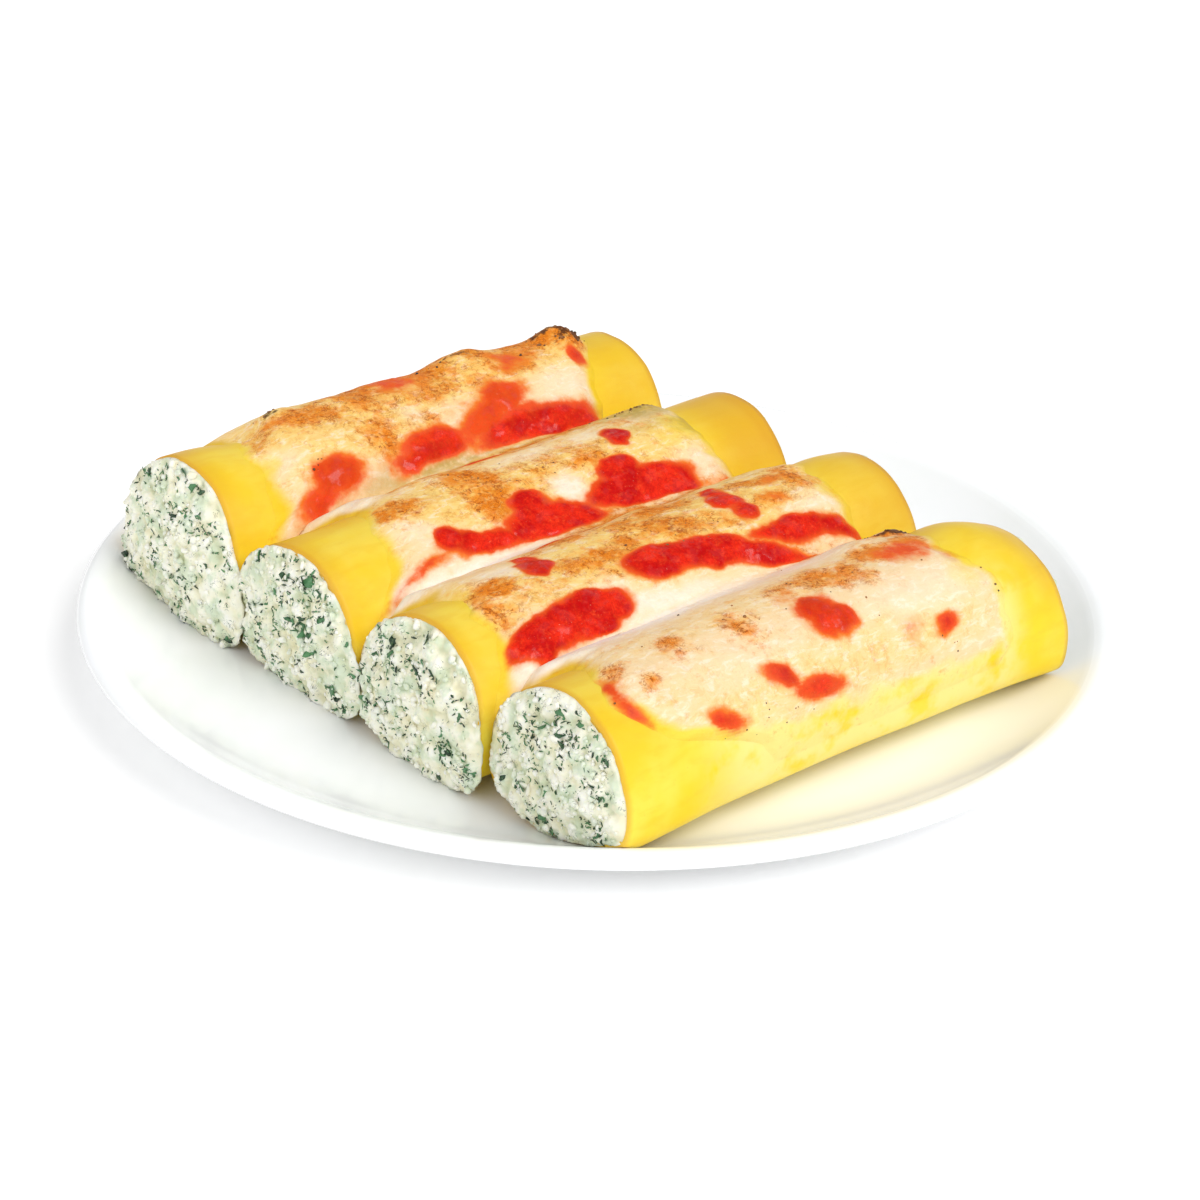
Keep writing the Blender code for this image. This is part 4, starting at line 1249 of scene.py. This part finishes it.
def crumbly_face(roll, end, number):
    """One open face of the filling: rings from its rim to its middle, with a curd mask and a mask of painted
    shade in the crevices.
    """
    side = -1.0 if end == "near" else 1.0
    x0 = roll[end] - side * BEHIND_CUT
    y, z, back = outline(roll, x0 + 0 * circle, circle, RIM_INSET)
    mid, _, belly, top = roll_shape(roll, x0)
    centre_z = (belly + top) / 2 - 3 * mm
    shrink = np.linspace(1.0, 0.0, FACE_RINGS)[:, None] ** 0.9
    swell = roll["swell"][0 if end == "near" else 1]
    bulge = BEHIND_CUT * ease(shrink, 1.0, 0.97) + swell * (1 - shrink ** 3.0)
    lean = back * (0.35 + 0.65 * shrink)
    spill = overflow(number, circle) if end == "near" else FAR_SPILL + 0 * circle
    spill = spill * ease(shrink, 1.0, 0.95) * ease(shrink, 0.45, 0.93)
    grow = shrink + spill / np.hypot(y - mid, z - centre_z)
    p = np.stack([x0 + lean + side * bulge, mid + (y - mid) * grow, centre_z + (z - centre_z) * grow], -1)
    big, own = curds(p, 3.6 * mm, 70 + number)
    small, _ = curds(p, 1.4 * mm, 80 + number)
    heave = 1.7 * (0.55 - big) + 0.7 * (0.5 - small) + uneven(p, (0.5, 6, 90 + number))
    heave += uneven(p, (0.18, 0.8, 95 + number))
    calm_rim = ease(shrink, 1.0, 0.93)
    p = p + pointing_out(p, side) * (heave * calm_rim * mm)[..., None]
    p[..., 2] = np.maximum(p[..., 2], plate_top(p[..., 0], p[..., 1]) + 0.1 * mm)
    return p, ease(0.75 - big, 0.0, 0.5) * (0.5 + 0.5 * own), ease(big + 0.4 * small, 0.70, 1.15)


print("most spill over each rim, mm:",
      [round(float(overflow(number, circle).max()) / mm, 1) for number in range(1, 5)])

# %% [markdown]
# ## The plugs
# The two faces of a roll are joined through the pasta by a few plain rings.

# %% Filling plugs
PLUG_RINGS, PLUG_ENDS, PLUG_INSET = 8, 1.8 * mm, PASTA_WALL + 0.35 * mm
filling_faces = {}
for count, roll in enumerate(ROLLS, start=1):
    near, far = crumbly_face(roll, "near", count), crumbly_face(roll, "far", count)
    filling_faces[count] = {"near": near[0], "far": far[0]}
    x = np.linspace(roll["near"] + PLUG_ENDS, roll["far"] - PLUG_ENDS, PLUG_RINGS)[:, None] + 0 * circle
    y, z, back = outline(roll, x, circle, PLUG_INSET)
    body = np.stack([x + back, y, z], -1), 0 * x, 0 * x
    rings, curd, crevice = (np.concatenate([first[::-1], middle, last])
                            for first, middle, last in zip(near, body, far))
    make_piece("filling_plug_%d" % count, rings, tube_faces(len(rings), FACE_POINTS, False), ricotta_finish,
               {"curd": curd, "crevice": crevice}, ["filling_%d" % count])

# %% [markdown]
# ## Loose curds and leaf scraps
# Close up, the faces are a scatter of ricotta crumbs and cut leaf. They are
# real small shapes rather than paint, because each of them throws its own
# little shadow. Every scrap gets a place, three axes turned at random, and a
# shape told in those axes.

# %% Placing scraps on a face
def scatter(face, side, amount, random, margin, rim_first=0.0):
    """Places on a crumbly face with their outward normals, more of them towards the rim if asked."""
    spread = random.random(amount) ** (0.5 - 0.15 * rim_first)
    rows = FACE_RINGS - 1 - (spread * (FACE_RINGS - margin)).astype(int)
    columns = random.integers(0, FACE_POINTS, amount)
    return face[rows, columns], pointing_out(face, side)[rows, columns]


def turned_frames(normals, random, tilt):
    """Three axes for each scrap: along, across and outward, turned at random and tilted a little."""
    out = normals + tilt * random.normal(size=normals.shape)
    out /= np.linalg.norm(out, axis=1, keepdims=True)
    rough = random.normal(size=normals.shape)
    first = rough - out * np.sum(rough * out, 1, keepdims=True)
    first /= np.linalg.norm(first, axis=1, keepdims=True)
    return first, np.cross(out, first), out


def set_down(places, axes, local):
    """Points of shapes told in their own three axes, each shape set down at its place."""
    return places[:, None] + sum(local[..., k:k + 1] * axis[:, None] for k, axis in enumerate(axes))


def joined(shapes, faces):
    """Many copies of one shape as a single mesh: all points, and the faces numbered on."""
    amount, size = shapes.shape[:2]
    shift = (np.arange(amount) * size)[:, None, None]
    return shapes.reshape(-1, 3), (np.asarray(faces)[None] + shift).reshape(-1, len(faces[0])).tolist()


print("places to choose from on a face:", FACE_RINGS * FACE_POINTS)

# %% [markdown]
# ## One curd, one scrap
# A curd starts as a small ball. A scrap of leaf is two layers of five pairs of
# points, narrow at its tips, with faces above, below and round its edge, so it
# has a thickness that catches light.

# %% A curd and a scrap of leaf
def round_crumb():
    """Points and faces of a small ball, as a start for one curd."""
    ball = bpy.data.meshes.new("ball")
    bm = bmesh.new()
    bmesh.ops.create_icosphere(bm, subdivisions=2, radius=1.0)
    bm.to_mesh(ball)
    bm.free()
    points = np.array([v.co for v in ball.vertices])
    faces = np.array([p.vertices for p in ball.polygons])
    bpy.data.meshes.remove(ball)
    return points, faces


ball_points, ball_faces = round_crumb()
LEAF_LINE, LEAF_WIDTH = (-1, -0.55, 0, 0.55, 1.0), (0.25, 0.85, 1.0, 0.75, 0.2)
leaf_points = np.array([(s, side * width, layer) for layer in (-1, 1)
                        for s, width in zip(LEAF_LINE, LEAF_WIDTH) for side in (-1, 1)])
up = 2 * len(LEAF_LINE)          # from a point of the lower layer to the same point of the upper one
steps = range(0, up - 2, 2)
leaf_faces = [[s, s + 1, s + 3, s + 2] for s in steps]
leaf_faces += [[up + s + 2, up + s + 3, up + s + 1, up + s] for s in steps]
for s in steps:
    leaf_faces += [[s, s + 2, up + s + 2, up + s], [s + 3, s + 1, up + s + 1, up + s + 3]]
leaf_faces += [[1, 0, up, up + 1], [up - 2, up - 1, 2 * up - 1, 2 * up - 2]]
print("points of a curd:", len(ball_points), "of a leaf scrap:", len(leaf_points))

# %% [markdown]
# ## No two alike
# Every copy is stretched, dented, torn or bent by its own random numbers. The
# copies are worked out together and joined, because thousands of separate
# objects would be slow to make and to carry about.

# %% Many curds and many scraps
LARGE_SCRAP, LEAF_THICKNESS = 0.9 * mm, 0.07 * mm


def curd_crumbs(places, normals, sizes, random, sunk=0.25):
    """Irregular little balls of ricotta sitting in the surface."""
    axes, amount = turned_frames(normals, random, 0.25), len(places)
    scale = np.stack([random.uniform(0.8, 1.3, amount), random.uniform(0.7, 1.1, amount),
                      random.uniform(0.55, 0.9, amount)], 1) * sizes[:, None]
    local = ball_points[None] * scale[:, None, :]
    local[..., 2] += (sizes * (0.5 - sunk))[:, None]
    shapes = set_down(places, axes, local)
    middle = shapes.mean(1, keepdims=True)
    return middle + (shapes - middle) * (1 + uneven(shapes, (0.5, 0.9, 101)))[..., None]


def leaf_scraps(places, normals, lengths, random):
    """Thin bent scraps of leaf lying in the surface; the small ones are narrow shreds."""
    axes, amount = turned_frames(normals, random, 0.45), len(places)
    widths = lengths * np.where(lengths > LARGE_SCRAP, random.uniform(0.4, 0.75, amount),
                                random.uniform(0.14, 0.45, amount))
    torn = random.normal(0, 0.22, (amount, len(leaf_points) // 2, 2))
    ragged = leaf_points[None] + np.concatenate([torn, torn], 1) @ np.eye(2, 3)
    local = ragged * np.stack([lengths, widths, np.full(amount, LEAF_THICKNESS)], 1)[:, None, :]
    arched = leaf_points[:, 0] ** 2 - 0.4
    local[..., 2] += arched * (random.normal(0, 0.35, amount) * lengths)[:, None]
    local[..., 1] += arched * (random.normal(0, 0.3, amount) * lengths)[:, None]
    local[..., 2] += (random.uniform(0.02, 0.22, amount) * mm)[:, None]
    return set_down(places, axes, local)


print("leaf is as thin as", LEAF_THICKNESS / mm, "mm either side of its middle")

# %% [markdown]
# ## Scattering them
# Curds lie evenly over a face. Leaf clings together in patches, so four times
# as many places are drawn as are needed, and the leafiest of them are kept.

# %% Scattered curds and leaf scraps
ENDS = [("near", -1, 230, 460, 4), ("far", 1, 180, 360, 8)]      # side, curds, scraps, bare middle rings
LARGEST_CURD, LONGEST_LEAF = 1.0, 1.5
for count in range(1, 5):
    random = np.random.default_rng(200 + count)
    curd_shapes, leaf_shapes, leaf_shades = [], [], []
    for end, side, curd_count, leaf_count, margin in ENDS:
        face = filling_faces[count][end]
        places, normals = scatter(face, side, curd_count, random, margin)
        sizes = np.minimum(random.lognormal(-0.8, 0.4, curd_count), LARGEST_CURD) * mm
        curd_shapes.append(curd_crumbs(places, normals, sizes, random))
        places, normals = scatter(face, side, 4 * leaf_count, random, margin + 1, rim_first=0.4)
        leafy = uneven(places, (1, 3.5, 110)) + 1.6 * random.random(len(places))
        leafiest = np.argsort(-leafy)[:leaf_count]
        lengths = np.minimum(random.lognormal(-1.0, 0.5, leaf_count), LONGEST_LEAF) * mm
        leaf_shapes.append(leaf_scraps(places[leafiest], normals[leafiest], lengths, random))
        leaf_shades.append(np.repeat(random.random(leaf_count), len(leaf_points)))
    points, faces = joined(np.concatenate(curd_shapes), ball_faces)
    make_piece("ricotta_curds_%d" % count, points, faces, ricotta_finish,
               {"curd": np.full(len(points), 0.8), "crevice": np.zeros(len(points))})
    points, faces = joined(np.concatenate(leaf_shapes), leaf_faces)
    make_piece("spinach_scraps_%d" % count, points, faces, spinach_finish,
               {"shade": np.concatenate(leaf_shades)})

# %% [markdown]
# ## The glaze of the plate
# White glazed pottery. The glaze is glossy with the faintest waves and a few pits, and a faint painted
# reflection of the yellow pasta lies beside the front roll. The foot ring stands on its bare biscuit, which
# is matt and a little warmer.

# %% Plate material
glaze, finish, where = material("white_glaze", {
    "Coat Weight": 0.15, "Coat Roughness": 0.05, "Specular IOR Level": 0.25})
drift, bare = grain(where, 30), mask(where, "bare")
paint = mix(soft_step(drift, 0.3, 0.7), "F7F9F8", "FBFCFE")
# painted reflection: a faint yellow of the pasta on the glaze beside the front roll
paint = mix(times(mask(where, "oil"), soft_step(drift, 0.25, 0.6)), paint, "FFF9D8")
paint = mix(bare, paint, "E9E2D2")
pits = speckled(where, 0.8, 0.05, 0.05)
give(finish["Base Color"], mix(times(pits, 0.12), paint, "C9C6B4"))
give(finish["Roughness"], plus(0.14, times(bare, 0.6)))
raise_surface(finish, lumpy(where, 14, 0.05), 0.12, 0.4)
print("material:", glaze.name)

# %% [markdown]
# ## Turning the plate
# The plate was turned on a wheel: a flat well, a rising wall, a rounded lip,
# and underneath a foot ring round a shallow recess. So it is one line of radii
# and heights, taken round in fine steps and closed by a disc at both ends.

# %% Profile of the plate
PLATE_STEPS, NEAR_AXIS, RECESS = 192, 0.5 * mm, 1.9 * mm


def rounded(corners, each=6):
    """A smooth line through corner points (Catmull-Rom), each stretch cut into short steps."""
    c = np.array([corners[0], *corners, corners[-1]], float)
    line = []
    for a, b, d, e in zip(c, c[1:], c[2:], c[3:]):
        for t in np.linspace(0, 1, each, endpoint=False):
            line.append(0.5 * (2 * b + (d - a) * t + (2 * a - 5 * b + 4 * d - e) * t * t
                               + (3 * b - a - 3 * d + e) * t ** 3))
    return line + [c[-1]]


well = [(r, PLATE_BASE) for r in np.linspace(NEAR_AXIS, WELL_RADIUS, 24)[:-1]]
wall = [(r, float(plate_top(r, 0.0))) for r in np.linspace(WELL_RADIUS, LIP_RADIUS, 18)]
lip = rounded([(LIP_RADIUS, LIP_HEIGHT), (106.7 * mm, 13.38 * mm), (108.5 * mm, 13.35 * mm),
               (PLATE_RADIUS, 12.1 * mm), (109.4 * mm, 10.7 * mm), (107.2 * mm, 10.2 * mm)])[1:]
under = [(r, float(plate_top(r, 0.0)) - PLATE_WALL) for r in np.linspace(104 * mm, 84 * mm, 10)]
foot = rounded([(76 * mm, 1.5 * mm), (68.4 * mm, 1.4 * mm), (67.2 * mm, 0.5 * mm), (66.2 * mm, 0.02 * mm),
                (63.2 * mm, 0.0), (60.2 * mm, 0.02 * mm), (59.2 * mm, 0.6 * mm), (58.4 * mm, RECESS),
                (50 * mm, RECESS)], 4)
inner = [(r, RECESS) for r in np.linspace(46 * mm, NEAR_AXIS, 8)]
profile = np.array(well + wall + lip + under + foot + inner)
print("points of the profile:", len(profile))

# %% [markdown]
# ## The plate as a mesh
# The line is taken round in fine steps, so that the rim stays round close up.
# Two masks go with it: the bare biscuit under the foot ring, and a painted reflection of the yellow pasta on
# the well beside the front roll.

# %% Turned plate
PASTA_REFLECTION_SHARE, BARE_BELOW = 0.02, 0.25 * mm
turn = np.linspace(0, 2 * math.pi, PLATE_STEPS, endpoint=False)[None, :]
radius, height = profile[:, :1], profile[:, 1:]
plate_rings = np.stack([radius * np.cos(turn), radius * np.sin(turn), height + 0 * turn], -1)
faces = tube_faces(len(profile), PLATE_STEPS, False)
last_ring = (len(profile) - 1) * PLATE_STEPS
faces += [list(range(PLATE_STEPS)), list(range(last_ring, last_ring + PLATE_STEPS))[::-1]]
x, y, z = np.moveaxis(plate_rings, -1, 0)
upward = (np.arange(len(profile)) < len(well) + len(wall))[:, None]
past_roll = y - ROLLS[-1]["right"].mean()
beside_roll = ease(past_roll, -16 * mm, 1 * mm) * ease(-past_roll, -4 * mm, 2 * mm)
# painted reflection of the yellow pasta on the well beside the front roll
oil = PASTA_REFLECTION_SHARE * beside_roll * window(x, -60, -10, 45, 75) * upward
bare = (z < BARE_BELOW) & ~upward
plate = make_piece("coupe_plate", plate_rings, faces, glaze,
                   {"oil": oil, "bare": bare.astype(float)}, ["plate"])

# %% [markdown]
# ## Burnt crumbs and herb specks
# A few bubbles at the back burnt almost black, and flecks of dried herb lie on the cheese. They are small
# ragged crumbs. The middle of each cluster is listed, and the crumbs fall round it at random.

# %% Burnt crumbs material
crust_finish, finish, where = material("burnt_crust", {
    "Roughness": 0.6, "Coat Weight": 0.1, "Coat Roughness": 0.3})
burn = soft_step(plus(grain(where, 1.2, 4.0), mask(where, "burn")), 0.5, 1.3)
give(finish["Base Color"], mix(burn, "B87A3A", "23140C"))
raise_surface(finish, lumpy(where, 0.8, 0.5), 0.8, 0.2)
print("material:", crust_finish.name)

# %% [markdown]
# ## Dropping the crumbs
# A crumb is a curd again, smaller and sunk deeper, and each has its own share
# of burning. The first clusters are the charred bubbles, the last three the
# herb specks, spread wide.

# %% Burnt crumbs and specks
CLUSTERS = [  # x, w, spread along, spread across, crumbs, largest half size, burnt
    (35, 30, 4.0, 2.2, 22, 0.55, 0.7), (-44, 24, 1.5, 1.0, 5, 0.45, 0.6), (2, 26, 4.0, 1.0, 9, 0.35, 0.8),
    (30, 67.6, 7.0, 0.7, 24, 0.34, 0.7), (33, 152.4, 6.0, 0.7, 20, 0.28, 0.8),
    (-45, 46, 2.0, 1.5, 5, 0.32, 0.8), (-28, 183, 1.0, 1.5, 3, 0.2, 0.8), (-38, 186, 3.0, 1.0, 3, 0.2, 0.8),
    (-20, 187, 3.0, 1.0, 4, 0.2, 0.7), (20, 186, 4.0, 1.5, 5, 0.2, 0.8), (37, 178, 1.0, 3.0, 3, 0.3, 0.7),
    (0, 125, 10.0, 3.0, 12, 0.3, 0.5), (-20, 80, 14.0, 6.0, 14, 0.3, 0.5),
    (-10, 162, 22.0, 6.0, 16, 0.3, 0.5)]
EDGE_MARGIN = 0.5 * mm
random = np.random.default_rng(301)
shapes, burns = [], []
for cx, cw, spread_x, spread_w, amount, size, burnt in CLUSTERS:
    x = (cx + spread_x * random.normal(size=amount)) * mm
    w = (cw + spread_w * random.normal(size=amount)) * mm
    start, end = ends_of_cheese(w)
    x = np.clip(x, start + EDGE_MARGIN, end - EDGE_MARGIN)
    seat, lean = on_cheese(x, w, cheese_grid), on_cheese(x, w, cheese_normals)
    lean /= np.linalg.norm(lean, axis=1, keepdims=True)
    sizes = size * mm * random.uniform(0.35, 1.0, amount)
    shapes.append(curd_crumbs(seat, lean, sizes, random, sunk=0.45))
    burns.append(np.repeat(burnt * random.uniform(0.5, 1.0, amount), len(ball_points)))
points, faces = joined(np.concatenate(shapes), ball_faces)
make_piece("burnt_crumbs", points, faces, crust_finish, {"burn": np.concatenate(burns)})

# %% [markdown]
# ## Table
# The dish stands on a plain white table. It glows a little, so that it stays
# white behind the dish and still takes a shadow under it.

# %% White table
TABLE_HALF = 6.0
floor_finish, finish, _ = material("white_table", {
    "Roughness": 0.9, "Specular IOR Level": 0.1, "Base Color": (0.98, 0.98, 0.98, 1),
    "Emission Color": (1, 1, 1, 1), "Emission Strength": 0.12})
floor_mesh = bpy.data.meshes.new("table")
corners = [(TABLE_HALF * sx, TABLE_HALF * sy, 0) for sx, sy in ((-1, -1), (1, -1), (1, 1), (-1, 1))]
floor_mesh.from_pydata(corners, [], [(0, 1, 2, 3)])
floor_mesh.materials.append(floor_finish)
floor = bpy.data.objects.new("table", floor_mesh)
bpy.context.scene.collection.objects.link(floor)
print("table, m across:", 2 * TABLE_HALF)

# %% [markdown]
# ## Light
# Soft light suits food. The room is bright all round, a broad lamp shines from
# the right of the camera and a weaker one from its left. The third reaches the
# plate only: it is a little cool, and takes back the yellow light that the
# pasta throws on the white glaze beside it.

# %% Lamps and room
def soft_sun(name, azimuth, elevation, strength, softness, tint=(1.0, 1.0, 1.0), only=None):
    """Even soft light from one direction; azimuth 0 shines from -Y, 90 from +X; angles in degrees."""
    lamp = bpy.data.lights.new(name, "SUN")
    lamp.energy, lamp.angle, lamp.color = strength, math.radians(softness), tint
    lamp_object = bpy.data.objects.new(name, lamp)
    a, e = math.radians(azimuth), math.radians(elevation)
    source = Vector((math.sin(a) * math.cos(e), -math.cos(a) * math.cos(e), math.sin(e)))
    lamp_object.rotation_euler = source.to_track_quat("Z", "Y").to_euler()
    bpy.context.scene.collection.objects.link(lamp_object)
    if only:
        lamp_object.light_linking.receiver_collection = only


lit_alone = bpy.data.collections.new("plate_light")
lit_alone.objects.link(plate)
soft_sun("key", 14, 48, 1.55, 40)
soft_sun("fill", -80, 30, 0.75, 60)
soft_sun("plate_glow", 45, 48, 0.58, 50, (0.86, 0.93, 1.0), lit_alone)
world = bpy.data.worlds.new("bright_room")
world.use_nodes = True
world.node_tree.nodes["Background"].inputs["Color"].default_value = (1.0, 1.0, 1.0, 1)
world.node_tree.nodes["Background"].inputs["Strength"].default_value = 0.55
bpy.context.scene.world = world
bpy.context.scene.view_settings.view_transform = "Standard"
print("lamps:", sorted(lamp.name for lamp in bpy.data.lights))

# %% [markdown]
# ## Camera
# The camera looks down at the corner of the dish where the open ends of the
# rolls show, from a little more than half a metre away, with a long lens.

# %% Camera
CAMERA_AZIMUTH, CAMERA_ELEVATION, CAMERA_ROLL = -41.85, 26.84, 2.14    # degrees
CAMERA_DISTANCE, CAMERA_LENS, SENSOR_WIDTH = 0.6093, 84.62, 36
AIM = Vector((0.0029, 0.0027, 0.0078))
a, e, tilt = (math.radians(angle) for angle in (CAMERA_AZIMUTH, CAMERA_ELEVATION, CAMERA_ROLL))
forward = Vector((-math.sin(a) * math.cos(e), math.cos(a) * math.cos(e), -math.sin(e)))
level = forward.cross(Vector((0, 0, 1))).normalized()
upright = level.cross(forward)
right = math.cos(tilt) * level + math.sin(tilt) * upright
top = math.cos(tilt) * upright - math.sin(tilt) * level
camera_data = bpy.data.cameras.new("camera")
camera_data.lens, camera_data.sensor_width = CAMERA_LENS, SENSOR_WIDTH
camera_data.clip_start = 0.01
camera = bpy.data.objects.new("camera", camera_data)
camera.matrix_world = Matrix((right, top, -forward)).transposed().to_4x4()
camera.location = AIM - forward * CAMERA_DISTANCE
bpy.context.scene.collection.objects.link(camera)
bpy.context.scene.camera = camera
print("camera at", [round(v, 4) for v in camera.location])
